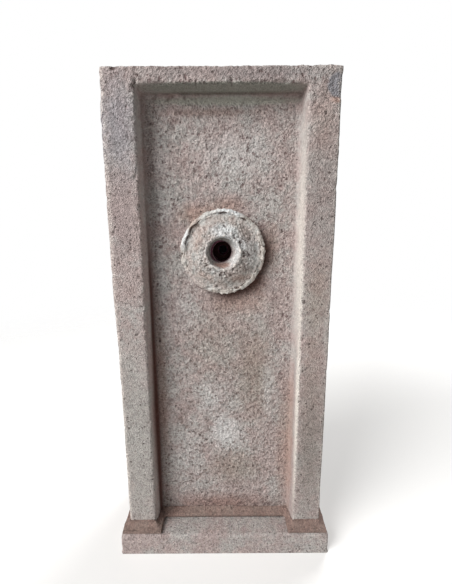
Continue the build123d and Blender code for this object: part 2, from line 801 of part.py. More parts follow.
# Inlet nipple: screwed into the valve, with its lower end free for the feed hose
with BuildPart() as inlet_nipple:
    inlet_length = inlet_hex_length + 2 * inlet_thread_length
    level_hexagon(valve_bottom - inlet_hex_length, thread_radius + inlet_hex_wall, inlet_hex_length)
    level_disc(inlet_bottom, thread_radius, inlet_length)
    level_disc(inlet_bottom, pipe_bore, inlet_length, mode=Mode.SUBTRACT)
inlet_nipple.part.label = "inlet_nipple"
export_step(inlet_nipple.part, "parts/inlet_nipple.step")
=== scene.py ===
"""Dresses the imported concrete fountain: worn, stained cast concrete in front and plain pipework behind."""

import math

import bpy
import numpy as np
from mathutils import Matrix, Vector


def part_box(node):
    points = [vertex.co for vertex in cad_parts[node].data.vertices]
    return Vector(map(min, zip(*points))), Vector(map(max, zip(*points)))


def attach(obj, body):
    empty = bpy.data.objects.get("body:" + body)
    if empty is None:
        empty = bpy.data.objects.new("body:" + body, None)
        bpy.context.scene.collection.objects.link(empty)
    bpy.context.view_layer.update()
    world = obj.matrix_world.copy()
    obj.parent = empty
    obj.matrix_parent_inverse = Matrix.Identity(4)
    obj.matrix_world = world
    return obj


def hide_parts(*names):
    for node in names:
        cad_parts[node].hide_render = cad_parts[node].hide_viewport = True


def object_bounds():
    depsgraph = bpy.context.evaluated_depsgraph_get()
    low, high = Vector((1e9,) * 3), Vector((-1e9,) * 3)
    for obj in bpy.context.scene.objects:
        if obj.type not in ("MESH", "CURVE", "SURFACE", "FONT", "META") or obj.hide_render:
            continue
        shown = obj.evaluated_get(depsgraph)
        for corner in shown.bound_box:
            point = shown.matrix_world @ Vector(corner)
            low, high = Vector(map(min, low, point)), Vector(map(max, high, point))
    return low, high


bl_info = {
    "name": "Concrete fountain",
    "version": (1, 0, 0),
    "blender": (4, 5, 0),
    "location": "View3D > Sidebar > Fountain",
    "description": "Dresses the packed concrete fountain and sets its stage",
    "category": "Object",
}

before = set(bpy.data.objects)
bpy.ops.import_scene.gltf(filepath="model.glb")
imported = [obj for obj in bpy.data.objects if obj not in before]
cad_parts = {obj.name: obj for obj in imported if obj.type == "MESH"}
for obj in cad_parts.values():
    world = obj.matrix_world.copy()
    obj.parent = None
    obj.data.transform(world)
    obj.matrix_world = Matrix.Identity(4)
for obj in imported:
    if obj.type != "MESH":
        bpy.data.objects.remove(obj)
cad_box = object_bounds()
stele_low, stele_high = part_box("stele")
rosette_low, rosette_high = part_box("rosette")
outlet = (rosette_low + rosette_high) / 2

# The stele's recess: how deep it is, half its width, and the underside of the rail over it
recess_depth = 0.035
recess_half = 0.1275
rail_under = 0.7925
front_y = stele_low.y
panel_y = front_y + recess_depth

# Height of the rosette's crest over the panel
crest_height = 0.022

# Most triangles that a finished piece keeps
stele_most = 196000
rosette_most = 150000
foot_most = 120000

# How far a point stands out of its neighbours on a sharp arris of the stele, the rosette and the foot
stele_arris = 0.0016
rosette_arris = 0.0007
foot_arris = 0.0018


def tone(*levels):
    """A colour written as it looks on screen, turned into the light it stands for."""
    shares = (level / 255 for level in levels)
    return tuple(c / 12.92 if c <= 0.04045 else ((c + 0.055) / 1.055) ** 2.4 for c in shares)


def shade(base, *shares):
    """A colour made darker or lighter, by one share or by one for each channel."""
    return tuple(min(c * share, 0.9) for c, share in zip(base, shares * 3 if len(shares) == 1 else shares))


def colour(label, about, value):
    """A colour setting."""
    return bpy.props.FloatVectorProperty(
        name=label, description=about, subtype="COLOR", size=3, min=0, max=1, default=value,
    )


def length(label, about, value):
    """A length setting in metres."""
    return bpy.props.FloatProperty(
        name=label, description=about, unit="LENGTH", subtype="DISTANCE", min=0, precision=5, default=value,
    )


class FountainConcrete(bpy.types.PropertyGroup):
    """Colours of the concrete, its mortar, its stains and its painted shade."""

    pink: colour("Pink sand", "Warm tone of the cast concrete", tone(173, 158, 154))
    grey: colour("Grey cement", "Cool tone of the cast concrete", tone(176, 171, 167))
    pale: colour("Worn arris", "Tone of the rubbed edges", tone(216, 208, 200))
    pore: colour("Pore", "Depth of the open pores", tone(74, 64, 60))
    rust: colour("Rust wash", "Red brown stain that the water leaves", tone(160, 126, 110))
    bloom: colour("Lime bloom", "White lime on the panel", tone(206, 204, 202))
    # Painted shade: a dark tone for the nicks, the rail's dent and the rosette's throat
    recess_shade: colour("Recess shade", "Painted shade in nicks, a dent and the rosette's throat", tone(62, 47, 44))
    # Painted shade: a red-brown tone laid into corners and hollows, under the rail and under the rosette
    painted_shade: colour("Painted shade", "Red-brown painted shade in the corners, under the rail and under the rosette", tone(68, 38, 30))
    earth: colour("Earth", "Olive-brown film that the water leaves", tone(150, 135, 122))
    lime: colour("White mortar", "Tone of the mortar round the rosette", tone(212, 214, 214))
    # Partly painted shade: damp green-grey film in the mouth, laid heavier on its shaded upper left
    foot: colour("Foot mortar", "Tone of the trowelled bed", tone(136, 115, 107))
    damp_film_and_shade: colour("Green grey", "Damp film and painted shade in the rosette's mouth", tone(118, 113, 102))
    spall: colour("Broken face", "Grey of the broken corner", tone(146, 144, 148))


class FountainRelief(bpy.types.PropertyGroup):
    """How fine the casts are and how deep their relief is."""

    stele_voxel: length("Stele grid", "Grid that the stele is cast on", 0.0020)
    foot_voxel: length("Foot grid", "Grid that the plinth and the bed are cast on", 0.0025)
    rosette_voxel: length("Rosette grid", "Grid that the rosette and its mortar are cast on", 0.0009)
    wave: length("Wave", "Broad unevenness of the cast faces", 0.0016)
    lump: length("Lump", "Relief of the rough skin", 0.0016)
    stipple: length("Stipple", "Relief of the panel's stippled skin", 0.0017)
    dimple: length("Dimple", "Relief of the dimples in the upper panel", 0.0026)
    erosion: length("Erosion", "Most that an arris has lost", 0.0030)
    dent: length("Dent", "Depth of the deepest knocks in the stele", 0.0030)
    curd: length("Curd", "Relief of the rosette's lumps", 0.0030)
    crest: length("Crest", "Relief of the lumps round the rosette's mouth", 0.0030)
    bead: length("Bead", "Relief of the mortar squeezed out round the rosette", 0.0032)


class FountainMetal(bpy.types.PropertyGroup):
    """Colours of the pipework."""

    galvanised: colour("Galvanised iron", "Zinc skin of the pipe and fittings", tone(176, 180, 182))
    # Partly painted shade: the nipple's oxide is darkened and tinted purple so the hole looks dark
    wetted_and_shaded: colour("Wetted and shaded iron", "Oxide and painted shade on the nipple inside the outlet", tone(132, 66, 94))
    zinc: colour("Zinc plate", "Plated clips and screws", tone(196, 200, 204))
    brass: colour("Brass", "Valve body", tone(206, 172, 104))
    chrome: colour("Chrome", "Plated ball", tone(214, 216, 218))
    steel: colour("Steel", "Dowels and stem", tone(150, 148, 146))
    grip: colour("Grip", "Vinyl sleeve on the lever", tone(168, 34, 28))
    seal: colour("Seal", "Rubber gasket", tone(38, 38, 40))
    plug: colour("Plug", "Nylon wall plugs", tone(176, 176, 170))
    tape: colour("Seat", "Fluoropolymer seats and packing", tone(236, 236, 232))


class FountainStage(bpy.types.PropertyGroup):
    """Floor, light and camera."""

    floor: colour("Floor", "Pale studio floor", tone(232, 231, 229))
    floor_radius: length("Floor radius", "Where the floor has faded to white", 2.2)
    key_power: bpy.props.FloatProperty(
        name="Key", description="Power of the soft key light", unit="POWER", min=0, default=240,
    )
    world_light: bpy.props.FloatProperty(
        name="Room", description="Light that the white room gives", subtype="FACTOR", min=0, max=1, default=0.13,
    )
    camera_height: length("Camera height", "Height of the lens over the floor", 0.590)


class FountainSettings(bpy.types.PropertyGroup):
    """All settings of the fountain."""

    concrete: bpy.props.PointerProperty(type=FountainConcrete)
    relief: bpy.props.PointerProperty(type=FountainRelief)
    metal: bpy.props.PointerProperty(type=FountainMetal)
    stage: bpy.props.PointerProperty(type=FountainStage)


# Tools for meshes


def only(piece):
    """Selects one object and nothing else."""
    bpy.ops.object.select_all(action="DESELECT")
    piece.select_set(True)
    bpy.context.view_layer.objects.active = piece


def take_cast(name, node):
    """A new piece that starts as a merged copy of a solid's mesh."""
    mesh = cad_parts[node].data.copy()
    mesh.name = name
    mesh.materials.clear()
    piece = bpy.data.objects.new(name, mesh)
    bpy.context.scene.collection.objects.link(piece)
    only(piece)
    bpy.ops.object.mode_set(mode="EDIT")
    bpy.ops.mesh.select_all(action="SELECT")
    bpy.ops.mesh.remove_doubles(threshold=0.000005)
    bpy.ops.object.mode_set(mode="OBJECT")
    return piece


def shape(piece, kind, **settings):
    """Adds a modifier and applies it."""
    modifier = piece.modifiers.new(kind.lower(), kind)
    for key, value in settings.items():
        setattr(modifier, key, value)
    only(piece)
    bpy.ops.object.modifier_apply(modifier=modifier.name)


def recast(piece, voxel):
    grid = voxel * 1
    shape(piece, "REMESH", mode="VOXEL", voxel_size=grid, adaptivity=0.0, use_smooth_shade=True)


def clouds(name, size, depth=2, contrast=1.0):
    """A cloud texture whose clouds are about as wide as size."""
    texture = bpy.data.textures.new(name, "CLOUDS")
    texture.noise_scale = size
    texture.noise_depth = depth
    texture.noise_basis = "IMPROVED_PERLIN"
    texture.contrast = contrast
    return texture


def roughen(piece, texture, strength, middle=0.5, group=""):
    """Pushes the skin in and out by a texture."""
    shape(
        piece, "DISPLACE", texture=texture, texture_coords="LOCAL", strength=strength, mid_level=middle,
        vertex_group=group, direction="NORMAL",
    )


def push(piece, group, distance, direction="NORMAL"):
    """Moves a group of points out of the skin or along an axis."""
    shape(piece, "DISPLACE", strength=distance, mid_level=0.0, vertex_group=group, direction=direction)


def per_point(piece, what):
    """Rows of x, y and z for the points of a mesh."""
    flat = np.empty(len(piece.data.vertices) * 3, dtype=np.float32)
    piece.data.vertices.foreach_get(what, flat)
    return flat.reshape(-1, 3)


def places(piece):
    """Where the points of a mesh lie."""
    return per_point(piece, "co")


def relaxed(piece, rounds):
    """The points of a mesh after each has moved to the middle of its neighbours a few times."""
    ends = np.empty(len(piece.data.edges) * 2, dtype=np.int32)
    piece.data.edges.foreach_get("vertices", ends)
    first, second = ends[0::2], ends[1::2]
    where = places(piece).astype(np.float64)
    count = len(where)
    neighbours = np.maximum(np.bincount(first, minlength=count) + np.bincount(second, minlength=count), 1)
    for _ in range(rounds):
        moved = np.empty_like(where)
        for axis in range(3):
            total = np.bincount(first, where[second, axis], count) + np.bincount(second, where[first, axis], count)
            moved[:, axis] = total / neighbours
        where = (where + moved) / 2
    return where


def ridge(piece, rounds, reach):
    """How sharply each point stands out, from 1 on a sharp arris to -1 in a sharp corner."""
    stand = np.einsum("ij,ij->i", places(piece) - relaxed(piece, rounds), per_point(piece, "normal"))
    return np.clip(stand / reach, -1, 1)


def weigh(piece, name, weights, most=50):
    """A vertex group with these weights, in steps of a fiftieth."""
    group = piece.vertex_groups.new(name=name)
    steps = np.rint(np.clip(weights, 0, 1) * most).astype(int)
    for level in range(1, most + 1):
        chosen = np.nonzero(steps == level)[0]
        if len(chosen):
            group.add(chosen.tolist(), level / most, "REPLACE")


def tell(piece, name, values):
    """A value per point that the material reads."""
    piece.vertex_groups.clear()
    layer = piece.data.attributes.new(name, "FLOAT", "POINT")
    layer.data.foreach_set("value", np.asarray(values, dtype=np.float32))


def tell_skin(piece, rounds, reach, rough):
    """Tells the material where the arrises and corners are, and how rough the skin is."""
    tell(piece, "arris", ridge(piece, rounds, reach))
    tell(piece, "rough", np.full(len(piece.data.vertices), rough))


def rise(values, low, high):
    """A smooth step from 0 at low to 1 at high."""
    share = np.clip((values - low) / (high - low), 0, 1)
    return share * share * (3 - 2 * share)


def band(values, low, full, fade, high):
    """A smooth band: 0 up to low, 1 from full to fade, and 0 again from high."""
    return rise(values, low, full) * rise(-values, -high, -fade)


def dents(where, spots, floor=0.3):
    """How deep each point lies in the deepest of some round dents, whose floors are a share of their radius."""
    depth = np.zeros(len(where))
    for x, y, z, radius, share in spots:
        gap = np.sqrt(((where - (x, y, z)) ** 2).sum(axis=1))
        depth = np.maximum(depth, share * (1 - rise(gap, radius * floor, radius)))
    return depth


def keep_in_box(piece, margin=0.0001):
    """Brings back what stands out of the CAD box, and leaves the foot on the ground."""
    low, high = np.array(cad_box[0]) + margin, np.array(cad_box[1]) - margin
    low[2] = cad_box[0][2]
    piece.data.vertices.foreach_set("co", np.clip(places(piece), low, high).ravel())
    piece.data.update()


def thin_out(piece, most, group=""):
    """Takes triangles out until at most that many are left, first where the group is."""
    triangles = sum(len(face.vertices) - 2 for face in piece.data.polygons)
    if triangles > most:
        shape(
            piece, "DECIMATE", decimate_type="COLLAPSE", ratio=most / triangles, vertex_group=group,
            vertex_group_factor=0.00001,
        )


def finish_piece(piece, body, slot, look, *nodes):
    """Smooths a piece's shading, gives it its material and binds it to the frame."""
    only(piece)
    bpy.ops.object.shade_smooth()
    piece.vertex_groups.clear()
    piece.data.materials.clear()
    piece.data.materials.append(look)
    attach(piece, body)
    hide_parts(*nodes)


# Tools for materials


def put(tree, kind, inputs=None, **settings):
    """One node, its settings, and its sockets filled or linked."""
    made = tree.nodes.new(kind)
    for key, value in settings.items():
        setattr(made, key, value)
    for key, value in (inputs or {}).items():
        if isinstance(value, bpy.types.NodeSocket):
            tree.links.new(value, made.inputs[key])
        else:
            made.inputs[key].default_value = value
    return made


def worked_out(tree, operation, first, *others):
    """The result of one operation on a row of values, from left to right."""
    for other in others:
        first = put(tree, "ShaderNodeMath", {0: first, 1: other}, operation=operation).outputs[0]
    return first


def times(tree, *values):
    """Values multiplied."""
    return worked_out(tree, "MULTIPLY", *values)


def plus(tree, *values):
    """Values added."""
    return worked_out(tree, "ADD", *values)


def minus(tree, first, second):
    """One value less another."""
    return worked_out(tree, "SUBTRACT", first, second)


def larger(tree, *values):
    """The largest of some values."""
    return worked_out(tree, "MAXIMUM", *values)


def vector(tree, operation, first, second):
    """The result of one operation on two vectors."""
    return put(tree, "ShaderNodeVectorMath", {0: first, 1: second}, operation=operation).outputs[0]


def far_off(tree, where):
    """How long a vector is."""
    return put(tree, "ShaderNodeVectorMath", {0: where}, operation="LENGTH").outputs["Value"]


def step(tree, value, low, high, start=0.0, end=1.0):
    """A smooth step of a value."""
    inputs = {"Value": value, "From Min": low, "From Max": high, "To Min": start, "To Max": end}
    return put(tree, "ShaderNodeMapRange", inputs, interpolation_type="SMOOTHSTEP").outputs[0]


def tint(tree, share, base, over, kind="MIX"):
    """One colour laid over another."""
    base, over = (value if isinstance(value, bpy.types.NodeSocket) else (*value, 1.0) for value in (base, over))
    return put(tree, "ShaderNodeMix", {0: share, 6: base, 7: over}, data_type="RGBA", blend_type=kind).outputs[2]


def noise(tree, where, size, detail, rough):
    """Noise whose features are about as wide as size, in metres, or as many per metre as a socket says."""
    scale = size if isinstance(size, bpy.types.NodeSocket) else 1 / size
    inputs = {"Vector": where, "Scale": scale, "Detail": detail, "Roughness": rough}
    return put(tree, "ShaderNodeTexNoise", inputs).outputs[0]


def cells(tree, where, per_metre):
    """The distances and the three drawn numbers of a scatter of cells."""
    made = put(tree, "ShaderNodeTexVoronoi", {"Vector": where, "Scale": per_metre}, feature="F1").outputs
    return made["Distance"], put(tree, "ShaderNodeSeparateColor", {"Color": made["Color"]}).outputs


def stretched(tree, where, upright):
    """Places squeezed in height, which draws a pattern out up and down."""
    return put(tree, "ShaderNodeMapping", {"Vector": where, "Scale": (1.0, 1.0, upright)}).outputs[0]


def told(tree, name):
    """A value that the mesh carries."""
    return put(tree, "ShaderNodeAttribute", attribute_type="GEOMETRY", attribute_name=name).outputs["Fac"]


# Effects that more than one material uses, each a node group that is built once


vector_sockets = ("Vector", "Centre", "Reach")


def placed(tree, name, fill, inputs):
    """The outputs of a node group with these values, which fill builds when it is first asked for."""
    group = bpy.data.node_groups.get(name)
    if group is None:
        group = bpy.data.node_groups.new(name, "ShaderNodeTree")
        for label in inputs:
            kind = "NodeSocketVector" if label in vector_sockets else "NodeSocketFloat"
            group.interface.new_socket(name=label, in_out="INPUT", socket_type=kind)
        made = fill(group, group.nodes.new("NodeGroupInput").outputs)
        for label in made:
            group.interface.new_socket(name=label, in_out="OUTPUT", socket_type="NodeSocketFloat")
        ends = group.nodes.new("NodeGroupOutput").inputs
        for label, value in made.items():
            group.links.new(value, ends[label])
    return put(tree, "ShaderNodeGroup", inputs, node_tree=group).outputs


def fill_pores(tree, given):
    """Round open pores of mixed sizes, one to a cell, with their outlines a little uneven."""
    where, per_metre = given["Vector"], given["Per metre"]
    finer = times(tree, per_metre, 1.4)
    aside = put(tree, "ShaderNodeTexNoise", {"Vector": where, "Scale": finer, "Detail": 1.0}).outputs["Color"]
    aside = vector(tree, "SUBTRACT", aside, (0.5, 0.5, 0.5))
    reach = worked_out(tree, "DIVIDE", 0.9, per_metre)
    aside = put(tree, "ShaderNodeVectorMath", {0: aside, 3: reach}, operation="SCALE").outputs[0]
    distance, lot = cells(tree, vector(tree, "ADD", where, aside), per_metre)
    fewest = minus(tree, 1.0, given["Share"])
    span = {"Value": lot[0], "From Min": fewest, "From Max": 1.0, "To Min": 0.0, "To Max": given["Widest"]}
    size = put(tree, "ShaderNodeMapRange", span).outputs[0]
    mask = step(tree, distance, times(tree, size, 0.50), size, 1.0, 0.0)
    return {"Mask": times(tree, mask, worked_out(tree, "GREATER_THAN", size, 0.02))}


def pores(tree, where, spacing, share, widest):
    """The mask of some pores, their spacing in metres and their widest radius as a share of it."""
    inputs = {"Vector": where, "Per metre": 1 / spacing, "Share": share, "Widest": widest}
    return placed(tree, "open_pores", fill_pores, inputs)["Mask"]


def fill_patch(tree, given):
    """A stain with a ragged edge round a place."""
    where = given["Vector"]
    scaled = vector(tree, "DIVIDE", vector(tree, "SUBTRACT", where, given["Centre"]), given["Reach"])
    wander = times(tree, minus(tree, noise(tree, where, 0.022, 5.0, 0.62), 0.5), given["Ragged"])
    edge = plus(tree, far_off(tree, scaled), wander)
    return {"Mask": step(tree, edge, minus(tree, 1.0, given["Soft"]), 1.0, 1.0, 0.0)}


def patch(tree, where, centre, reach, ragged, soft):
    """The mask of one stain."""
    inputs = {"Vector": where, "Centre": centre, "Reach": reach, "Ragged": ragged, "Soft": soft}
    return placed(tree, "ragged_patch", fill_patch, inputs)["Mask"]


def fill_sandy_skin(tree, given):
    """Lumps, sand and stones of the concrete's skin, fainter where it is smooth."""
    where, rough = given["Vector"], given["Rough"]
    even = step(tree, rough, 0.02, 0.22, 0.5, 1.0)
    lumps = minus(tree, noise(tree, where, given["Coarse per metre"], 2.0, 0.5), 0.5)
    sand = minus(tree, noise(tree, where, given["Fine per metre"], 1.2, 0.5), 0.5)
    stone_size = 0.0026
    distance, lot = cells(tree, where, 1 / stone_size)
    near = step(tree, distance, 0.30, 0.50, 0.5, 0.0)
    return {
        "Even": even,
        "Lumps": times(tree, lumps, step(tree, rough, 0.0, 1.0, 0.15, 1.0)),
        "Sand": times(tree, sand, even, step(tree, rough, 0.2, 1.0, 1.7, 0.8)),
        "Speck": times(tree, minus(tree, lot[2], 0.5), even),
        "Rounded": times(tree, minus(tree, 0.5, distance), even),
        "Pale stones": times(tree, step(tree, lot[0], 0.86, 0.90), near),
        "Dark stones": times(tree, step(tree, lot[1], 0.86, 0.90), near),
    }


def fill_pitted_skin(tree, given):
    """Shallow low spots, open pores, and the pocks of the stippled panel."""
    where, rough, stipple = given["Vector"], given["Rough"], given["Stipple"]
    thick = step(tree, noise(tree, where, 0.024, 3.0, 0.6), 0.36, 0.62, 0.30, 1.0)
    low_spots = larger(tree, pores(tree, where, 0.0086, 1.0, 0.50), pores(tree, where, 0.0058, 0.9, 0.50))
    pitted = times(tree, step(tree, rough, 0.80, 1.0, 0.32, 1.0), step(tree, stipple, 0.2, 1.0, 1.0, 0.35))
    small = pores(tree, where, 0.0046, times(tree, given["Pore share"], 1.4), 0.42)
    small = times(tree, small, step(tree, rough, 0.2, 1.0, 1.0, 0.55))
    large = pores(tree, where, 0.0110, times(tree, given["Pore share"], 1.3), 0.26)
    return {
        "Low spots": times(tree, low_spots, thick, pitted),
        "Pores": times(tree, larger(tree, small, large), given["Even"]),
        "Pocks": times(tree, pores(tree, where, 0.0064, 1.0, 0.58), stipple),
    }


def fill_weather(tree, given):
    """Where two tones of cement change over, where it is cloudy, and where rain has run down."""
    where = given["Vector"]
    return {
        "Mottle": step(tree, noise(tree, where, given["Mottle per metre"], 6.0, 0.68), 0.40, 0.62),
        "Cloud": noise(tree, where, 0.022, 4.0, 0.6),
        "Runs": step(tree, noise(tree, stretched(tree, where, 0.10), 0.016, 4.0, 0.6), 0.52, 0.74, 0.0, 0.30),
    }


def fill_worn_edges_and_shaded_hollows(tree, given):
    """Where the arrises are rubbed pale, and where the corners and creases get painted shade."""
    return {
        "Rubbed": times(tree, step(tree, given["Arris"], 0.3, 0.95), step(tree, given["Skin"], -0.08, 0.06)),
        "Shaded hollow": step(tree, given["Arris"], -0.15, -0.9),
    }


def fill_metal_skin(tree, given):
    """Crystal flakes, a thin film, blotches and fine upright scratches of a metal."""
    where = given["Vector"]
    return {
        "Flake": cells(tree, where, given["Flakes per metre"])[1][1],
        "Film": noise(tree, where, 0.012, 4.0, 0.6),
        "Blotch": noise(tree, where, 0.007, 6.0, 0.68),
        "Lines": noise(tree, stretched(tree, where, 0.06), 0.0006, 2.0, 0.5),
    }


def fill_moulded_skin(tree, given):
    """Haze, dust and the fine grain of a moulded skin."""
    where = given["Vector"]
    return {
        "Haze": noise(tree, where, 0.009, 4.0, 0.6),
        "Dust": noise(tree, where, 0.004, 5.0, 0.7),
        "Grain": noise(tree, where, 0.0009, 2.0, 0.5),
    }


# Materials


def new_look(name):
    """An empty material with a Principled shader, and where its surface points lie."""
    look = bpy.data.materials.new(name)
    look.use_nodes = True
    tree = look.node_tree
    tree.nodes.clear()
    shader = tree.nodes.new("ShaderNodeBsdfPrincipled")
    tree.links.new(shader.outputs[0], tree.nodes.new("ShaderNodeOutputMaterial").inputs["Surface"])
    where = tree.nodes.new("ShaderNodeTexCoord").outputs["Object"]
    return look, tree, shader, where


def dress(tree, shader, face, gloss, height, strength, depth):
    """Links a shader to its colour, its roughness and the bump of its skin."""
    bump = put(tree, "ShaderNodeBump", {"Strength": strength, "Distance": depth, "Height": height}).outputs[0]
    for label, value in (("Base Color", face), ("Roughness", gloss), ("Normal", bump)):
        tree.links.new(value, shader.inputs[label])


def concrete_look(
    name, warm, cool, stains_and_painted_light=(), coarse=0.0040, fine=0.0020, relief=1.2, grain=1.9, pits=0.60, pore_share=0.3,
    wear=0.5, hollow_shade=0.5, mottle=0.055,
):
    """Sandy cast concrete with a lumpy skin, pits, pores, stains with painted shade and highlights among them, rubbed
    arrises, and painted shade in its corners and hollows.
    """
    tones = bpy.context.scene.fountain.concrete
    look, tree, shader, where = new_look(name)
    rough = told(tree, "rough")
    sandy = placed(tree, "sandy_skin", fill_sandy_skin, {
        "Vector": where, "Rough": rough, "Coarse per metre": 1 / coarse, "Fine per metre": 1 / fine,
    })
    pitted = placed(tree, "pitted_skin", fill_pitted_skin, {
        "Vector": where, "Rough": rough, "Stipple": told(tree, "stipple"), "Even": sandy["Even"],
        "Pore share": pore_share,
    })
    weather = placed(tree, "weather", fill_weather, {"Vector": where, "Mottle per metre": 1 / mottle})
    skin = plus(tree, times(tree, sandy["Lumps"], 0.45), times(tree, sandy["Sand"], 0.35))
    edges = placed(tree, "worn_edges_and_shaded_hollows", fill_worn_edges_and_shaded_hollows, {"Arris": told(tree, "arris"), "Skin": skin})

    base = tint(tree, weather["Mottle"], warm, cool)
    base = tint(tree, step(tree, weather["Cloud"], 0.50, 0.72, 0.0, 0.40), base, shade(warm, 0.80, 0.70, 0.68))
    base = tint(tree, weather["Runs"], base, shade(warm, 0.66))
    base = tint(tree, sandy["Pale stones"], base, shade(warm, 1.5))
    base = tint(tree, sandy["Dark stones"], base, shade(warm, 0.42))
    for stain_or_light_tone, strength, centre, reach, ragged, soft in stains_and_painted_light:
        mask = patch(tree, where, centre, reach, ragged, soft)
        base = tint(tree, times(tree, mask, strength), base, stain_or_light_tone)
    base = tint(tree, times(tree, edges["Rubbed"], wear), base, tones.pale)
    # Painted shade: the hollows and the marked places are darkened with the red-brown shade tone
    base = tint(tree, larger(tree, times(tree, edges["Shaded hollow"], hollow_shade), told(tree, "painted_shade")), base, tones.painted_shade)
    grit = plus(tree, times(tree, skin, grain), times(tree, sandy["Speck"], grain * 0.24), 1.0)
    grit = put(tree, "ShaderNodeCombineColor", {0: grit, 1: grit, 2: grit}).outputs[0]
    base = tint(tree, 1.0, base, grit, "MULTIPLY")
    base = tint(tree, times(tree, pitted["Low spots"], pits * 1.35), base, shade(warm, 0.34, 0.27, 0.27))
    base = tint(tree, times(tree, pitted["Pocks"], 0.55), base, shade(warm, 0.46, 0.40, 0.36))
    base = tint(tree, times(tree, pitted["Pores"], 0.80), base, tones.pore)

    raised = plus(
        tree, times(tree, sandy["Lumps"], 2.8 * relief), times(tree, sandy["Sand"], relief),
        times(tree, sandy["Rounded"], 0.55 * relief),
    )
    sunk = plus(
        tree, times(tree, pitted["Low spots"], pits * 1.1 * relief), times(tree, pitted["Pores"], 0.8),
        times(tree, pitted["Pocks"], 1.6),
    )
    shader.inputs["Specular IOR Level"].default_value = 0.2
    gloss = step(tree, weather["Cloud"], 0.3, 0.7, 0.84, 0.97)
    dress(tree, shader, base, gloss, minus(tree, raised, sunk), 1.0, 0.001)
    return look


def metal_look(
    name, base, rough, metallic=1.0, spangle=0.0, size=0.006, tarnish=None, tarnish_share=0.0, scratch=0.0, bore_shade=None,
):
    """A metal with its crystal spangle, fine scratches and tarnish, and a patch of painted shade if one is given."""
    look, tree, shader, where = new_look(name)
    skin = placed(tree, "metal_skin", fill_metal_skin, {"Vector": where, "Flakes per metre": 1 / size})
    face = tint(tree, times(tree, skin["Flake"], spangle), base, shade(base, 0.55))
    face = tint(tree, step(tree, skin["Film"], 0.35, 0.75, 0.0, 0.3), face, shade(base, 0.72))
    shader.inputs["Metallic"].default_value = metallic
    if tarnish is not None:
        spots = step(tree, skin["Blotch"], 0.62 - tarnish_share * 0.2, 0.70)
        face = tint(tree, spots, face, tarnish)
        tree.links.new(minus(tree, metallic, times(tree, spots, 0.8)), shader.inputs["Metallic"])
    # Painted shade: a dark patch laid where the outlet's bore is in shade
    if bore_shade is not None:
        bore_shade_tone, centre, reach = bore_shade
        face = tint(tree, patch(tree, where, centre, reach, 0.1, 0.15), face, bore_shade_tone)
    gloss = step(tree, plus(tree, skin["Film"], times(tree, skin["Flake"], 0.25)), 0.3, 0.9, *rough)
    height = plus(tree, times(tree, skin["Lines"], scratch), times(tree, skin["Film"], 0.4))
    dress(tree, shader, face, gloss, height, 0.5, 0.0003)
    return look


def moulded_look(name, base, rough, depth=0.4):
    """A moulded or dipped plastic with a fine grain and a little dust."""
    look, tree, shader, where = new_look(name)
    skin = placed(tree, "moulded_skin", fill_moulded_skin, {"Vector": where})
    face = tint(tree, step(tree, skin["Haze"], 0.35, 0.75, 0.0, 0.35), base, shade(base, 0.7))
    face = tint(tree, step(tree, skin["Dust"], 0.5, 0.8, 0.0, 0.12), face, (0.45, 0.42, 0.39))
    gloss = step(tree, skin["Haze"], 0.3, 0.7, *rough)
    dress(tree, shader, face, gloss, times(tree, skin["Grain"], depth), 0.5, 0.0002)
    return look
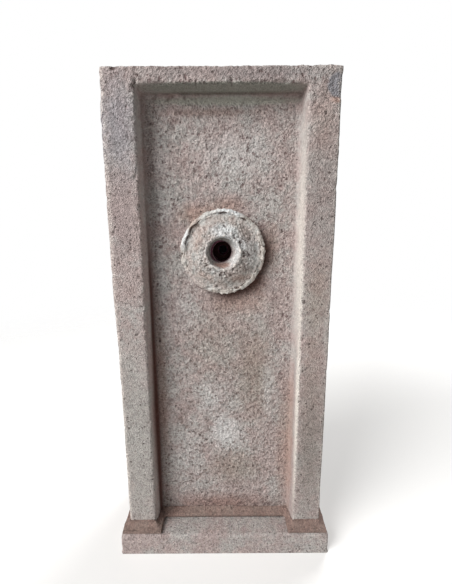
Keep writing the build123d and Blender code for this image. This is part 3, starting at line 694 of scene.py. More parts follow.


# Stains, painted shade and painted highlights, laid one over another: tone, strength, centre, reach, and how ragged and
# how soft the edge is


def panel_stains_and_painted_light():
    """Where the water, the lime and the dirt have marked the stele's front, with painted shade and painted highlights
    among the stains.
    """
    tones = bpy.context.scene.fountain.concrete
    deep = panel_y
    lit_edge = tone(224, 217, 208)
    return (
        (tones.rust, 0.55, (-0.046, deep, outlet.z + 0.062), (0.044, 0.030, 0.026), 0.9, 0.9),
        (tones.rust, 0.45, (0.006, deep, outlet.z + 0.076), (0.050, 0.030, 0.020), 0.9, 0.9),
        (tones.rust, 0.40, (0.078, deep, outlet.z + 0.010), (0.026, 0.030, 0.060), 0.9, 0.9),
        (tones.rust, 0.42, (0.030, deep, outlet.z - 0.088), (0.075, 0.030, 0.032), 0.8, 0.9),
        (tones.rust, 0.36, (0.112, deep, 0.190), (0.022, 0.040, 0.190), 0.7, 0.9),
        (tone(144, 115, 106), 0.75, (0.000, deep, 0.060), (0.150, 0.040, 0.030), 0.7, 0.9),
        (tones.rust, 0.40, (-0.112, deep, 0.300), (0.016, 0.030, 0.230), 0.7, 0.9),
        (tone(140, 116, 108), 0.60, (-0.020, deep, 0.764), (0.110, 0.030, 0.011), 0.8, 0.9),
        (tones.earth, 0.30, (-0.015, deep, 0.390), (0.075, 0.030, 0.120), 0.9, 0.9),
        (tones.earth, 0.55, (0.055, deep, 0.330), (0.050, 0.030, 0.140), 0.9, 0.9),
        (tones.earth, 0.50, (0.020, deep, 0.140), (0.070, 0.030, 0.050), 0.9, 0.9),
        (tones.rust, 0.25, (0.150, front_y, 0.330), (0.030, 0.020, 0.230), 0.8, 0.9),
        (tones.rust, 0.28, (0.150, front_y, 0.740), (0.030, 0.020, 0.070), 0.8, 0.9),
        (tone(150, 138, 134), 0.60, (0.152, front_y, 0.640), (0.040, 0.020, 0.150), 0.7, 0.9),
        (tone(158, 143, 141), 0.65, (-0.155, front_y, 0.600), (0.034, 0.020, 0.110), 0.8, 0.9),
        (tone(167, 163, 158), 0.85, (-0.150, front_y, 0.210), (0.050, 0.020, 0.270), 0.6, 0.7),
        (tone(149, 144, 148), 0.75, (-0.152, front_y, 0.740), (0.040, 0.020, 0.110), 0.7, 0.9),
        (tone(139, 131, 125), 0.80, (0.152, front_y, 0.200), (0.040, 0.020, 0.240), 0.7, 0.9),
        (tones.bloom, 0.80, (0.004, deep, 0.212), (0.042, 0.030, 0.044), 0.8, 0.9),
        (tones.bloom, 0.40, (0.000, deep, 0.236), (0.026, 0.030, 0.030), 0.9, 0.9),
        (tones.bloom, 0.38, (-0.024, deep, 0.282), (0.034, 0.030, 0.050), 0.9, 0.9),
        (tones.bloom, 0.22, (-0.070, deep, 0.170), (0.044, 0.030, 0.100), 0.9, 0.9),
        (tones.bloom, 0.35, (0.080, deep, 0.300), (0.016, 0.030, 0.080), 0.9, 0.9),
        (tones.bloom, 0.22, (-0.070, deep, 0.440), (0.040, 0.030, 0.060), 0.9, 0.9),
        (tones.bloom, 0.36, (0.020, deep, 0.700), (0.090, 0.030, 0.060), 0.9, 0.9),
        (tones.bloom, 0.45, (-0.096, deep, 0.612), (0.020, 0.030, 0.032), 0.9, 0.9),
        (tones.bloom, 0.45, (-0.104, deep, 0.500), (0.018, 0.030, 0.120), 0.9, 0.9),
        (tones.bloom, 0.40, (-0.100, deep, 0.690), (0.020, 0.030, 0.070), 0.9, 0.9),
        (tone(136, 127, 126), 0.60, (0.050, front_y, 0.806), (0.150, 0.020, 0.016), 0.7, 0.8),
        # Painted shadow: brown shade below the rosette's lower right
        (tone(112, 76, 58), 0.55, (0.052, deep, outlet.z - 0.056), (0.034, 0.030, 0.026), 0.5, 0.8),
        # Painted shade: dark red-brown in the recess's lower left corner
        (tone(84, 46, 34), 0.70, (-0.125, deep, 0.240), (0.0085, 0.030, 0.240), 0.4, 0.6),
        (tone(150, 143, 141), 0.50, (-0.080, front_y, 0.806), (0.060, 0.020, 0.016), 0.7, 0.8),
        (tones.earth, 0.40, (0.152, front_y, 0.480), (0.036, 0.020, 0.100), 0.8, 0.9),
        (tone(118, 115, 126), 0.60, (-0.176, front_y, 0.735), (0.007, 0.020, 0.085), 0.6, 0.8),
        # Painted shade: dark purple inside the bore, behind the outlet
        (tone(104, 56, 74), 1.00, (outlet.x, deep + 0.040, outlet.z), (0.0230, 0.050, 0.0230), 0.05, 0.10),
        # Painted shade: green-grey on the underside of the rail over the recess
        (tone(130, 130, 121), 0.90, (0.000, front_y + 0.022, 0.7915), (0.180, 0.040, 0.0050), 0.15, 0.4),
        (tone(178, 177, 166), 0.85, (0.010, deep, 0.7800), (0.160, 0.016, 0.0085), 0.35, 0.6),
        (tones.rust, 0.38, (0.1220, deep - 0.004, 0.200), (0.012, 0.018, 0.220), 0.40, 0.8),
        (lit_edge, 0.75, (0.1245, front_y + 0.014, 0.560), (0.0080, 0.030, 0.260), 0.40, 0.9),
        (lit_edge, 0.85, (0.1262, front_y + 0.004, 0.300), (0.0045, 0.015, 0.320), 0.40, 0.8),
        (tones.spall, 0.95, (0.170, front_y + 0.006, 0.790), (0.020, 0.018, 0.019), 0.45, 0.25),
        (tones.rust, 0.60, (0.168, front_y, 0.770), (0.014, 0.020, 0.007), 0.8, 0.7),
        # Painted shade in the two nicks of the rail's lower arris and in the dent at the rail's top left
        (tones.recess_shade, 0.55, (-0.0374, front_y + 0.006, 0.7940), (0.0021, 0.012, 0.0060), 1.3, 0.8),
        (tones.recess_shade, 0.55, (0.0152, front_y + 0.006, 0.7935), (0.0024, 0.012, 0.0055), 1.3, 0.8),
        (tones.recess_shade, 0.70, (-0.155, front_y, 0.813), (0.008, 0.016, 0.005), 0.8, 0.6),
    )


def weathering():
    """Where damp, lime runs and lichen have marked the stele's sides, back and top."""
    tones = bpy.context.scene.fountain.concrete
    top, side = stele_high.z, stele_high.x
    damp, lichen = tone(126, 108, 100), tone(98, 95, 86)
    return (
        (tone(116, 101, 92), 0.60, (0.0, 0.110, 0.046), (0.600, 0.170, 0.110), 1.6, 0.9),
        (tones.bloom, 0.45, (-side, 0.020, 0.620), (0.020, 0.030, 0.190), 1.2, 0.9),
        (tones.bloom, 0.40, (side, 0.040, 0.500), (0.020, 0.026, 0.240), 1.2, 0.9),
        (damp, 0.45, (-side, 0.055, 0.400), (0.020, 0.034, 0.260), 1.4, 0.9),
        (damp, 0.45, (side, -0.015, 0.560), (0.020, 0.030, 0.220), 1.4, 0.9),
        (tones.rust, 0.50, (0.0, 0.0, outlet.z - 0.090), (0.026, 0.020, 0.110), 1.0, 0.9),
        (tones.bloom, 0.40, (-0.070, 0.0, 0.640), (0.050, 0.030, 0.100), 1.2, 0.9),
        (lichen, 0.60, (0.060, 0.030, top), (0.090, 0.050, 0.012), 1.6, 0.8),
        (lichen, 0.55, (-0.100, 0.050, top), (0.060, 0.040, 0.012), 1.6, 0.8),
        (tones.bloom, 0.40, (-0.020, -0.030, top), (0.080, 0.030, 0.012), 1.6, 0.8),
    )


def round_the_mouth(*rows):
    """Stains and painted shade whose centres are given from the outlet's axis and the panel."""
    start = Vector((outlet.x, panel_y, outlet.z))
    return tuple((paint, strength, start + Vector(centre), *rest) for paint, strength, centre, *rest in rows)


# Pieces


class FOUNTAIN_OT_stele(bpy.types.Operator):
    """Casts the stele with its broken corner, worn arrises and stippled panel"""

    bl_idname = "fountain.cast_stele"
    bl_label = "Cast the stele"

    def execute(self, context):
        settings = context.scene.fountain
        piece = take_cast("stele_cast", "stele")
        cutter = self.breaks()
        shape(piece, "BOOLEAN", operation="DIFFERENCE", solver="EXACT", object=cutter)
        bpy.data.objects.remove(cutter)
        recast(piece, settings.relief.stele_voxel)
        self.wear_down(piece, settings.relief)
        x, y, z = places(piece).T
        in_front = (y < panel_y + 0.004) & (np.abs(x) < 0.171)
        weigh(piece, "easy", np.where(in_front, 0.0, 1.0))
        thin_out(piece, stele_most, "easy")
        keep_in_box(piece)
        where = places(piece)
        tell_skin(piece, 12, stele_arris, self.roughness(where))
        # Painted shade: where the stele is darkened, under the rosette's lower right, in the recess's left corner and
        # under the rail
        tell(piece, "painted_shade", self.painted_shade_weights(where))
        tell(piece, "stipple", self.stippled(where))
        tones = settings.concrete
        look = concrete_look("stele_concrete", tones.pink, tones.grey, weathering() + panel_stains_and_painted_light())
        finish_piece(piece, "fountain", "concrete", look, "stele")
        return {"FINISHED"}

    def wear_down(self, piece, relief):
        """Roughens the faces, breaks the arrises and knocks the dents in."""
        where = places(piece)
        x, y, z = where.T
        outer = (np.abs(x) > 0.160) | (z > 0.807)
        arris = np.clip(ridge(piece, 10, stele_arris), 0, 1) * np.where(outer, 0.14, 1.0)
        rail_edge = band(z, 0.776, 0.786, 0.796, 0.806) * (np.abs(x) < 0.135) * (y < panel_y)
        weigh(piece, "arris", arris * (0.45 + 0.55 * rail_edge))
        weigh(piece, "stipple", self.stippled(where))
        weigh(piece, "dimples", self.dimpled(where))
        weigh(piece, "skin", self.roughness(where))
        weigh(piece, "dents", dents(where, self.spots()))
        weigh(piece, "lean", rise(-x, 0.129, 0.165) * band(z, 0.36, 0.50, 0.740, 0.800))
        push(piece, "lean", -0.0026, "X")
        roughen(piece, clouds("cast_wave", 0.090, 1), relief.wave)
        roughen(piece, clouds("rough_skin", 0.013, 3, 1.8), relief.lump, 0.55, "skin")
        roughen(piece, clouds("stippled_skin", 0.0050, 1, 2.4), relief.stipple, 0.5, "stipple")
        roughen(piece, clouds("fine_skin", 0.0036, 0, 2.0), 0.0009, 0.55, "skin")
        roughen(piece, clouds("panel_dimples", 0.0085, 1, 2.4), relief.dimple, 0.6, "dimples")
        roughen(piece, clouds("arris_breaks", 0.011, 3, 2.2), -relief.erosion, 0.1, "arris")
        push(piece, "dents", -relief.dent)

    def roughness(self, where):
        """How rough the skin is: coarse on panel and rail, fine on the lower stiles, smooth on the recess's walls."""
        x, y, z = where.T
        front = y < front_y + 0.004
        rough = np.where(front, 0.25 + 0.60 * rise(z, 0.60, 0.74), 0.45)
        rough = np.maximum(rough, front * rise(z, 0.780, 0.790))
        in_recess = (y > front_y + 0.004) & (y < panel_y + 0.008) & (np.abs(x) < recess_half) & (z < rail_under)
        panel = rise(0.1215 - np.abs(x), 0.0, 0.010) * rise(0.7840 - z, 0.004, 0.014)
        return np.where(in_recess, panel, rough)

    def on_panel(self, where):
        """Which points lie on the panel."""
        x, y, z = where.T
        return (np.abs(y - panel_y) < 0.008) & (np.abs(x) < recess_half + 0.0005) & (z < rail_under + 0.0015)

    def stippled(self, where):
        """How far the panel is stippled: most in its lower middle."""
        x, y, z = where.T
        amount = 0.2 + 0.8 * band(z, 0.06, 0.11, 0.40, 0.47)
        return self.on_panel(where) * amount * rise(0.118 - np.abs(x), 0.0, 0.04)

    def dimpled(self, where):
        """How far the panel is dimpled: most at its upper left."""
        x, y, z = where.T
        amount = (0.25 + 0.75 * rise(-x, -0.02, 0.07)) * rise(z, 0.40, 0.50)
        return self.on_panel(where) * amount * rise(0.120 - np.abs(x), 0.0, 0.02)

    def painted_shade_weights(self, where):
        """Where shade is painted: under the rosette's shaded side, in the recess's left corner and under the rail."""
        x, y, z = where.astype(np.float64).T
        far = np.hypot(x - outlet.x, z - outlet.z)
        angle = np.degrees(np.arctan2(z - outlet.z, x - outlet.x))
        deep = rise(y, panel_y - 0.015, panel_y - 0.004) * (y < panel_y + 0.008)
        rim, shaded_side = 0.0705, -38
        off = np.abs((angle - shaded_side + 180) % 360 - 180)
        below = np.exp(-((far - rim) / np.where(far > rim, 0.015, 0.006)) ** 2) * (1 - rise(off, 40, 85))
        corner = np.exp(-((x + 0.1245) / 0.0065) ** 2) + 0.14 * np.exp(-((x + 0.122) / 0.022) ** 2)
        corner *= 0.35 + 0.65 * rise(-z, -0.66, -0.46)
        under = 0.55 * np.exp(-((z - 0.7895) / 0.0032) ** 2) * (np.abs(x) < recess_half)
        marks = np.maximum(0.90 * below, 0.94 * np.clip(corner, 0, 1))
        return np.clip(deep * np.maximum(marks, under), 0, 1)

    def breaks(self):
        """What is knocked out of the stele: the spalled corner, the nicks in the rail and the corner crack."""
        turn = math.radians(-79)
        away = Vector((math.cos(turn), math.sin(turn), 0))
        size = (0.040, 0.034, 0.037)
        middle = Vector((0.1620, front_y + 0.0022, 0.789)) + away * size[0] / 2
        bpy.ops.object.select_all(action="DESELECT")
        bpy.ops.mesh.primitive_cube_add(size=1, location=middle, rotation=(0, math.radians(4), turn), scale=size)
        cutter = bpy.context.object
        bpy.ops.object.transform_apply(location=True, rotation=True, scale=True)
        bpy.ops.object.mode_set(mode="EDIT")
        bpy.ops.mesh.select_all(action="SELECT")
        bpy.ops.mesh.subdivide(number_cuts=14)
        bpy.ops.object.mode_set(mode="OBJECT")
        roughen(cutter, clouds("break_face", 0.012, 3), 0.0040)
        nicks = (
            ((-0.0370, front_y - 0.001, 0.7945), (0.0021, 0.0060, 0.0100), 12),
            ((0.0150, front_y - 0.001, 0.7935), (0.0030, 0.0070, 0.0080), -10),
            ((-0.1265, front_y - 0.001, 0.7930), (0.0026, 0.0100, 0.0120), 24),
            ((-0.0900, front_y + 0.001, 0.7910), (0.0120, 0.0060, 0.0034), 4),
            ((0.0480, front_y + 0.001, 0.7915), (0.0100, 0.0050, 0.0030), -3),
            ((0.0860, front_y + 0.001, 0.7925), (0.0150, 0.0060, 0.0038), -2),
        )
        for place, size, lean in nicks:
            bpy.ops.object.select_all(action="DESELECT")
            bpy.ops.mesh.primitive_uv_sphere_add(
                segments=14, ring_count=8, radius=1, location=place, scale=size, rotation=(0, math.radians(lean), 0),
            )
            nick = bpy.context.object
            bpy.ops.object.transform_apply(location=True, rotation=True, scale=True)
            nick.select_set(True)
            cutter.select_set(True)
            bpy.context.view_layer.objects.active = cutter
            bpy.ops.object.join()
        return cutter

    def spots(self):
        """Places, radii and depths of the larger pits and knocks."""
        dice = np.random.RandomState(11)

        def drawn(start, spread):
            return start + spread * dice.rand()

        def either(first, second, share):
            return first if dice.rand() < share else second

        spots = [(-0.155, front_y, 0.814, 0.006, 1.0)]
        for count, left, nearest, spread, low, height, radius, wider, depth in (
            (34, 0.6, 0.127, 0.004, 0.09, 0.69, 0.0035, 0.003, 0.4),
            (40, 0.5, 0.132, 0.038, 0.07, 0.72, 0.0030, 0.002, 0.3),
        ):
            for _ in range(count):
                x = either(-1, 1, left) * drawn(nearest, spread)
                spots.append((x, front_y, drawn(low, height), drawn(radius, wider), drawn(depth, 0.4)))
        for _ in range(26):
            side, y = either(-1, 1, 0.5), either(front_y, stele_high.y, 0.4)
            spots.append((side * 0.175, y, drawn(0.07, 0.70), drawn(0.004, 0.004), drawn(0.2, 0.3)))
        for _ in range(16):
            y = either(front_y, stele_high.y, 0.5)
            spots.append((drawn(-0.17, 0.34), y, stele_high.z, drawn(0.004, 0.004), drawn(0.2, 0.2)))
        return spots


class FOUNTAIN_OT_rosette(bpy.types.Operator):
    """Casts the rosette round the outlet and the white mortar that holds it"""

    bl_idname = "fountain.cast_rosette"
    bl_label = "Cast the rosette"

    def execute(self, context):
        settings = context.scene.fountain
        self.disc(settings)
        self.ring(settings)
        return {"FINISHED"}

    def round_the_outlet(self, piece):
        """Distance from the outlet's axis, angle round it and height over the panel, for each point."""
        x, y, z = places(piece).astype(np.float64).T
        return np.hypot(x - outlet.x, z - outlet.z), np.arctan2(z - outlet.z, x - outlet.x), panel_y - y

    def groove(self, angle):
        """Where the mortar has shrunk from the disc, at its upper left."""
        return 1 - rise(np.abs(np.degrees(angle) % 360 - 157), 20, 32)

    def disc(self, settings):
        """The domed disc with its funnel mouth."""
        relief, tones = settings.relief, settings.concrete
        piece = take_cast("rosette_cast", "rosette")
        recast(piece, relief.rosette_voxel)
        far, angle, height = self.round_the_outlet(piece)
        front = rise(height, 0.005, 0.008)
        dome = front * rise(far, 0.0275, 0.031)
        weigh(piece, "dome", dome * (1 - 0.55 * rise(far, 0.050, 0.056)))
        weigh(piece, "crest", front * band(far, 0.0245, 0.027, 0.032, 0.042))
        weigh(piece, "funnel", front * band(far, 0.0185, 0.020, 0.024, 0.028))
        weigh(piece, "mouth", front * band(far, 0.0225, 0.0255, 0.0275, 0.0310))
        weigh(piece, "rim", front * band(far, 0.0220, 0.0260, 0.0270, 0.0300))
        weigh(piece, "throat", rise(-far, -0.0270, -0.0190))
        weigh(piece, "lip", rise(-far, -0.0235, -0.0205) * rise(height, 0.0042, 0.0060))
        weigh(piece, "fill", (height > 0.0075) * rise(far, 0.0535, 0.0575) * (1 - self.groove(angle)))
        folds = np.abs(((np.degrees(angle) + 6 * np.sin(far * 300)) / 15.0) % 2 - 1)
        right = rise(np.cos(angle), 0.55, 0.9) * front * band(far, 0.030, 0.034, 0.054, 0.060)
        weigh(piece, "streaks", right * folds ** 3)
        push(piece, "rim", 0.0012)
        push(piece, "lip", -0.0016)
        push(piece, "fill", -0.0021, "Y")
        shape(piece, "SMOOTH", factor=0.5, iterations=60, vertex_group="lip")
        push(piece, "throat", -0.0036, "X")
        push(piece, "throat", 0.0012, "Z")
        roughen(piece, clouds("rosette_wave", 0.030, 1), 0.0030, 0.5, "dome")
        roughen(piece, clouds("rosette_curd", 0.0050, 2, 2.2), relief.curd, 0.5, "dome")
        roughen(piece, clouds("crest_curd", 0.0080, 2, 2.6), relief.crest, 0.5, "crest")
        roughen(piece, clouds("mouth_curd", 0.0060, 1, 2.6), 0.0014, 0.5, "mouth")
        roughen(piece, clouds("rosette_grain", 0.0026, 1, 2.0), 0.0008, 0.55, "dome")
        roughen(piece, clouds("funnel_grain", 0.009, 2), 0.0007, 0.6, "funnel")
        push(piece, "streaks", -0.0016)
        knocks = [
            (outlet.x + across, panel_y - crest_height, outlet.z + up, radius, share)
            for across, up, radius, share in (
                (0.0150, -0.0350, 0.0070, 0.9), (-0.0030, -0.0370, 0.0060, 0.8), (-0.0250, -0.0170, 0.0060, 0.9),
                (0.0050, 0.0440, 0.0070, 0.8), (0.0040, 0.0300, 0.0060, 0.7), (0.0360, -0.0030, 0.0080, 0.8),
                (0.0440, -0.0045, 0.0080, 0.7), (0.0300, 0.0140, 0.0070, 0.35), (0.0360, 0.0260, 0.0080, 0.4),
            )
        ]
        weigh(piece, "dents", dents(places(piece), knocks))
        push(piece, "dents", -0.0019)
        thin_out(piece, rosette_most)
        tell_skin(piece, 6, rosette_arris, 1.0)
        out = -crest_height
        stains_and_painted_light = round_the_mouth(
            (tones.lime, 0.50, (0.0, out, 0.0), (0.043, 0.030, 0.043), 0.8, 0.7),
            (tones.lime, 0.75, (0.002, out, 0.033), (0.030, 0.030, 0.018), 0.6, 0.7),
            (tones.lime, 0.60, (0.026, out, 0.016), (0.018, 0.030, 0.020), 0.8, 0.8),
            (tones.lime, 0.45, (0.046, out, 0.002), (0.018, 0.030, 0.034), 0.8, 0.8),
            # Damp film in the mouth, and painted shade on its upper left
            (tones.damp_film_and_shade, 0.80, (-0.006, -0.015, 0.008), (0.0270, 0.0100, 0.0270), 0.3, 0.45),
            # Brown water stain in the funnel's lower half, which also paints shade there
            (tone(138, 108, 97), 0.90, (-0.002, -0.014, -0.022), (0.024, 0.013, 0.012), 0.4, 0.7),
            # Painted shade: the funnel darkened towards the throat
            (tones.recess_shade, 0.90, (-0.003, -0.006, 0.001), (0.0260, 0.0160, 0.0260), 0.1, 0.6),
            # Painted shade: dark purple in the throat and the bore
            (tone(92, 52, 64), 1.00, (-0.003, 0.0, 0.001), (0.0240, 0.0150, 0.0240), 0.1, 0.3),
            (tones.rust, 0.35, (-0.040, out, 0.018), (0.016, 0.030, 0.026), 0.9, 0.9),
            (tones.rust, 0.40, (0.032, out, -0.044), (0.030, 0.030, 0.012), 0.9, 0.9),
            (tones.rust, 0.30, (-0.036, out, -0.040), (0.022, 0.030, 0.012), 0.9, 0.9),
        )
        look = concrete_look(
            "rosette_concrete", tone(176, 165, 159), tone(181, 179, 175), stains_and_painted_light, coarse=0.0036, fine=0.0024,
            relief=0.75, grain=1.9, pits=0.36, pore_share=0.12, wear=0.85, hollow_shade=0.75, mottle=0.02,
        )
        finish_piece(piece, "fountain", "concrete", look, "rosette")

    def ring(self, settings):
        """The mortar squeezed out round the disc, thick in some places and gone in others."""
        relief, tones = settings.relief, settings.concrete
        piece = take_cast("rosette_mortar_cast", "rosette_mortar")
        recast(piece, relief.rosette_voxel)
        far, angle, height = self.round_the_outlet(piece)
        degrees = np.degrees(angle)
        lip = np.zeros(len(degrees))
        for start, end, share in (
            (54, 104, 1.0), (127, 179, 0.95), (-12, 32, 0.8), (-86, -30, 0.75), (180, 268, 0.25), (104, 127, 0.2),
        ):
            middle, half = (start + end) / 2, (end - start) / 2
            off = np.abs((degrees - middle + 180) % 360 - 180)
            lip = np.maximum(lip, share * (1 - rise(off, half - 6, half + 5)))
        edge = rise(far + 0.0012 * np.sin(angle * 7) + 0.0008 * np.sin(angle * 17), 0.0624, 0.0640)
        level = np.where(far < 0.0645, 0.0105, 0.0105 - 0.55 * (far - 0.0645)) - 0.0019 * self.groove(angle)
        sinking = 0.0059
        weigh(piece, "sunk", (far > 0.058) * (1 - lip * edge) * np.clip((height - level) / sinking, 0, 1))
        weigh(piece, "bead", rise(far, 0.058, 0.0605) * rise(height, 0.004, 0.007))
        push(piece, "sunk", sinking, "Y")
        roughen(piece, clouds("bead_lumps", 0.0110, 2, 2.6), relief.bead, 0.58, "bead")
        roughen(piece, clouds("bead_curd", 0.0040, 1, 2.0), 0.0011, 0.6, "bead")
        thin_out(piece, rosette_most)
        tell_skin(piece, 6, rosette_arris, 1.0)
        stains_and_painted_light = round_the_mouth(
            # Painted shade: dark purple in the mortar's bore
            (tone(104, 56, 74), 1.00, (0.0, -0.002, 0.0), (0.0230, 0.012, 0.0230), 0.05, 0.15),
            (tones.lime, 0.90, (0.012, -0.012, 0.064), (0.036, 0.020, 0.012), 0.5, 0.6),
            (tones.lime, 0.75, (-0.062, -0.012, 0.024), (0.012, 0.020, 0.030), 0.5, 0.6),
            (tones.rust, 0.35, (-0.048, -0.010, 0.050), (0.020, 0.030, 0.020), 0.8, 0.8),
            (tones.rust, 0.35, (0.068, -0.010, -0.030), (0.012, 0.030, 0.020), 0.8, 0.8),
            (tones.pink, 0.60, (-0.050, -0.010, -0.045), (0.045, 0.030, 0.035), 0.8, 0.8),
        )
        look = concrete_look(
            "rosette_mortar", tone(190, 182, 174), tone(196, 195, 191), stains_and_painted_light, coarse=0.0036, fine=0.0024,
            relief=0.45, grain=1.4, pits=0.30, pore_share=0.15, wear=0.9, hollow_shade=0.75, mottle=0.02,
        )
        finish_piece(piece, "fountain", "mortar", look, "rosette_mortar")


class FOUNTAIN_OT_foot(bpy.types.Operator):
    """Casts the plinth and trowels the mortar bed on it"""

    bl_idname = "fountain.cast_foot"
    bl_label = "Cast the foot"

    def execute(self, context):
        settings = context.scene.fountain
        self.plinth(settings.relief, settings.concrete)
        self.bed(settings.relief, settings.concrete)
        return {"FINISHED"}

    def plinth(self, relief, tones):
        """The plinth, worn on its arrises and flat on the ground."""
        piece = take_cast("plinth_cast", "plinth")
        recast(piece, relief.foot_voxel)
        free = rise(places(piece)[:, 2], 0.0005, 0.004)
        weigh(piece, "free", free)
        weigh(piece, "arris", free * np.clip(ridge(piece, 8, stele_arris), 0, 1))
        roughen(piece, clouds("plinth_wave", 0.080, 1), -0.0022, 0.0, "free")
        roughen(piece, clouds("plinth_skin", 0.012, 3), -0.0012, 0.2, "free")
        roughen(piece, clouds("plinth_breaks", 0.012, 3, 2.0), -0.0026, 0.1, "arris")
        look = concrete_look("plinth_concrete", tones.pink, tones.grey, hollow_shade=0.6)
        self.set_down(piece, 0.5, "concrete", look, "plinth")

    def bed(self, relief, tones):
        """The mortar bed, smoothed by the trowel."""
        piece = take_cast("mortar_bed_trowelled", "mortar_bed")
        recast(piece, relief.foot_voxel * 0.8)
        low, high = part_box("mortar_bed")
        weigh(piece, "open", rise(places(piece)[:, 2], low.z + 0.001, low.z + 0.004))
        roughen(piece, clouds("bed_wave", 0.040, 2, 1.8), 0.0022, 0.6, "open")
        roughen(piece, clouds("bed_skin", 0.012, 3, 2.0), 0.0016, 0.6, "open")
        look = concrete_look(
            "foot_mortar", tones.foot, tone(132, 115, 107), relief=0.7, grain=1.7, pits=0.6, pore_share=0.25,
            wear=0.35, hollow_shade=0.5, mottle=0.035,
        )
        self.set_down(piece, 0.4, "mortar", look, "mortar_bed")

    def set_down(self, piece, rough, slot, look, node):
        """Thins a piece of the foot out, keeps it in the CAD box and finishes it."""
        thin_out(piece, foot_most)
        keep_in_box(piece)
        tell_skin(piece, 8, foot_arris, rough)
        finish_piece(piece, "fountain", slot, look, node)


class FOUNTAIN_OT_pipework(bpy.types.Operator):
    """Gives the pipe, its fittings, clips and valve their finishes"""

    bl_idname = "fountain.finish_pipework"
    bl_label = "Finish the pipework"

    def execute(self, context):
        metal = context.scene.fountain.metal
        rust = tone(126, 84, 60)
        galvanised = {
            "base": metal.galvanised, "rough": (0.34, 0.58), "spangle": 0.5, "size": 0.007, "tarnish": rust,
            "tarnish_share": 0.15,
        }
        # Painted shade: a dark patch on the flange behind the outlet's bore
        painted_bore_shade = (tone(34, 20, 18), (outlet.x, -0.002, outlet.z), (0.024, 0.006, 0.024))
        # Partly painted shade: oxide darkened so the hole inside the outlet looks dark
        wetted_and_shaded = {
            "rough": (0.6, 0.85), "metallic": 0.3, "spangle": 0.3, "tarnish": tone(52, 32, 26), "tarnish_share": 0.5,
        }
        brass = {
            "rough": (0.26, 0.46), "spangle": 0.1, "size": 0.003, "tarnish": tone(122, 92, 54), "tarnish_share": 0.25,
        }
        clips = [
            f"clip_{part}_{end}" for part in ("plate", "stud", "inner_half", "outer_half") for end in ("lower", "upper")
        ]
        self.finish(metal_look("galvanised_iron", **galvanised), "elbow", "riser_pipe", "inlet_nipple")
        self.finish(metal_look("galvanised_flange", **galvanised, bore_shade=painted_bore_shade), "wall_flange")
        self.finish(metal_look("wetted_and_shaded_iron", metal.wetted_and_shaded, **wetted_and_shaded), "spout_nipple")
        self.finish(
            metal_look("zinc_plate", metal.zinc, (0.24, 0.42), spangle=0.12, size=0.004, scratch=0.5),
            *clips, "clip_screws", "clip_plate_screws", "flange_screws", "valve_lever", "lever_nut",
        )
        self.finish(metal_look("cast_brass", metal.brass, **brass), "valve_body", "valve_adapter", "gland_nut")
        self.finish(metal_look("chromed_ball", metal.chrome, (0.06, 0.16)), "valve_ball")
        self.finish(
            metal_look("plain_steel", metal.steel, (0.32, 0.52), tarnish=rust, tarnish_share=0.4, scratch=0.4),
            "valve_stem", "dowel_left", "dowel_right",
        )
        self.finish(moulded_look("vinyl_grip", metal.grip, (0.34, 0.5)), "lever_grip")
        self.finish(moulded_look("gasket_rubber", metal.seal, (0.6, 0.8), depth=0.8), "flange_gasket")
        self.finish(moulded_look("nylon_plug", metal.plug, (0.4, 0.6)), "flange_plugs", "clip_plugs")
        self.finish(
            moulded_look("seat_fluoropolymer", metal.tape, (0.3, 0.5)),
            "valve_seat_lower", "valve_seat_upper", "stem_packing",
        )
        return {"FINISHED"}

    def finish(self, look, *nodes):
        """Gives some solids one material."""
        for node in nodes:
            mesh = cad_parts[node].data
            mesh.materials.clear()
            mesh.materials.append(look)


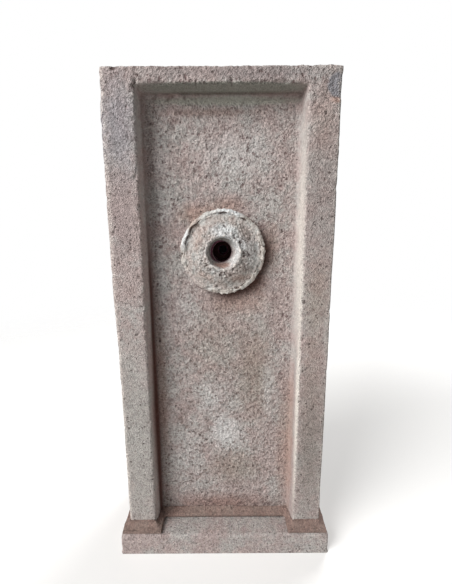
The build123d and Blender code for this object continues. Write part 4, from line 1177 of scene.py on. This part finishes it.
class FOUNTAIN_OT_stage(bpy.types.Operator):
    """Sets the pale floor, the soft light and the camera"""

    bl_idname = "fountain.set_stage"
    bl_label = "Set the stage"

    def execute(self, context):
        stage = context.scene.fountain.stage
        context.scene.view_settings.view_transform = "Standard"
        self.floor(stage)
        self.room(context, stage)
        self.lamps(context, stage)
        self.camera(context, stage)
        return {"FINISHED"}

    def floor(self, stage):
        """A round floor that fades to the white of the room."""
        bpy.ops.object.select_all(action="DESELECT")
        bpy.ops.mesh.primitive_circle_add(
            vertices=96, radius=stage.floor_radius * 1.05, fill_type="NGON", location=(0, 0, 0),
        )
        floor = bpy.context.object
        floor.name = "studio_floor"
        look = bpy.data.materials.new("pale_floor")
        look.use_nodes = True
        tree = look.node_tree
        tree.nodes.clear()
        where = tree.nodes.new("ShaderNodeTexCoord").outputs["Object"]
        fade = step(tree, far_off(tree, where), stage.floor_radius * 0.28, stage.floor_radius)
        paint = put(tree, "ShaderNodeBsdfDiffuse", {"Color": (*stage.floor, 1), "Roughness": 0.0}).outputs[0]
        glow = put(tree, "ShaderNodeEmission", {"Color": (1, 1, 1, 1), "Strength": 0.16}).outputs[0]
        bright = put(tree, "ShaderNodeAddShader", {0: paint, 1: glow}).outputs[0]
        seen = put(tree, "ShaderNodeLightPath").outputs["Is Camera Ray"]
        lit = put(tree, "ShaderNodeMixShader", {0: seen, 1: paint, 2: bright}).outputs[0]
        clear = tree.nodes.new("ShaderNodeBsdfTransparent").outputs[0]
        mixed = put(tree, "ShaderNodeMixShader", {0: fade, 1: lit, 2: clear}).outputs[0]
        tree.links.new(mixed, tree.nodes.new("ShaderNodeOutputMaterial").inputs["Surface"])
        floor.data.materials.append(look)

    def room(self, context, stage):
        """A white room that lights the object from all round."""
        world = bpy.data.worlds.new("white_room")
        context.scene.world = world
        world.use_nodes = True
        tree = world.node_tree
        tree.nodes.clear()
        path = tree.nodes.new("ShaderNodeLightPath").outputs
        seen = larger(tree, path["Is Camera Ray"], path["Is Glossy Ray"], path["Is Transmission Ray"])
        dim, white = (
            put(tree, "ShaderNodeBackground", {"Color": (1, 1, 1, 1), "Strength": strength}).outputs[0]
            for strength in (stage.world_light, 1.0)
        )
        mixed = put(tree, "ShaderNodeMixShader", {0: seen, 1: dim, 2: white}).outputs[0]
        tree.links.new(mixed, tree.nodes.new("ShaderNodeOutputWorld").inputs["Surface"])

    def lamps(self, context, stage):
        """One large soft key from the upper left and weaker fills from the right and behind."""
        for name, place, aim, size, power in (
            ("key_light", (-2.65, -2.30, 2.70), (0, -0.05, 0.45), 3.0, stage.key_power),
            ("fill_light", (2.4, -1.6, 1.2), (0, 0, 0.45), 1.6, stage.key_power * 0.015),
            ("back_light", (1.6, 2.6, 2.0), (0, 0.1, 0.40), 2.0, stage.key_power * 0.4),
        ):
            data = bpy.data.lights.new(name, "AREA")
            data.shape = "DISK"
            data.size = size
            data.energy = power
            lamp = bpy.data.objects.new(name, data)
            lamp.location = place
            lamp.rotation_euler = (Vector(aim) - Vector(place)).to_track_quat("-Z", "Y").to_euler()
            context.scene.collection.objects.link(lamp)

    def camera(self, context, stage):
        """The camera where the photograph was taken from."""
        sensor, picture_height, focal_length = 36, 584, 338
        tilt, roll = math.radians(79), math.radians(-0.33)
        data = bpy.data.cameras.new("photo_camera")
        data.sensor_width = sensor
        data.lens = focal_length / picture_height * sensor
        data.clip_start = 0.01
        camera = bpy.data.objects.new("photo_camera", data)
        turn = Matrix.Rotation(tilt, 4, "X") @ Matrix.Rotation(roll, 4, "Z")
        camera.matrix_world = Matrix.Translation((0.005, -0.6157, stage.camera_height)) @ turn
        context.scene.collection.objects.link(camera)
        context.scene.camera = camera


class FOUNTAIN_PT_panel(bpy.types.Panel):
    """The fountain's operators and settings in the sidebar"""

    bl_idname = "FOUNTAIN_PT_panel"
    bl_label = "Concrete fountain"
    bl_space_type = "VIEW_3D"
    bl_region_type = "UI"
    bl_category = "Fountain"

    def draw(self, context):
        settings = context.scene.fountain
        for maker in makers:
            self.layout.operator(maker.bl_idname)
        for group in (settings.concrete, settings.relief, settings.metal, settings.stage):
            box = self.layout.box()
            for key in group.__annotations__:
                box.prop(group, key)


makers = (FOUNTAIN_OT_stage, FOUNTAIN_OT_stele, FOUNTAIN_OT_rosette, FOUNTAIN_OT_foot, FOUNTAIN_OT_pipework)
groups = (FountainConcrete, FountainRelief, FountainMetal, FountainStage, FountainSettings)
classes = (*groups, *makers, FOUNTAIN_PT_panel)


def register():
    for kind in classes:
        bpy.utils.register_class(kind)
    bpy.types.Scene.fountain = bpy.props.PointerProperty(type=FountainSettings)


def unregister():
    del bpy.types.Scene.fountain
    for kind in reversed(classes):
        bpy.utils.unregister_class(kind)


def main():
    register()
    bpy.ops.fountain.set_stage()
    bpy.ops.fountain.cast_stele()
    bpy.ops.fountain.cast_rosette()
    bpy.ops.fountain.cast_foot()
    bpy.ops.fountain.finish_pipework()


if __name__ == "__main__":
    main()
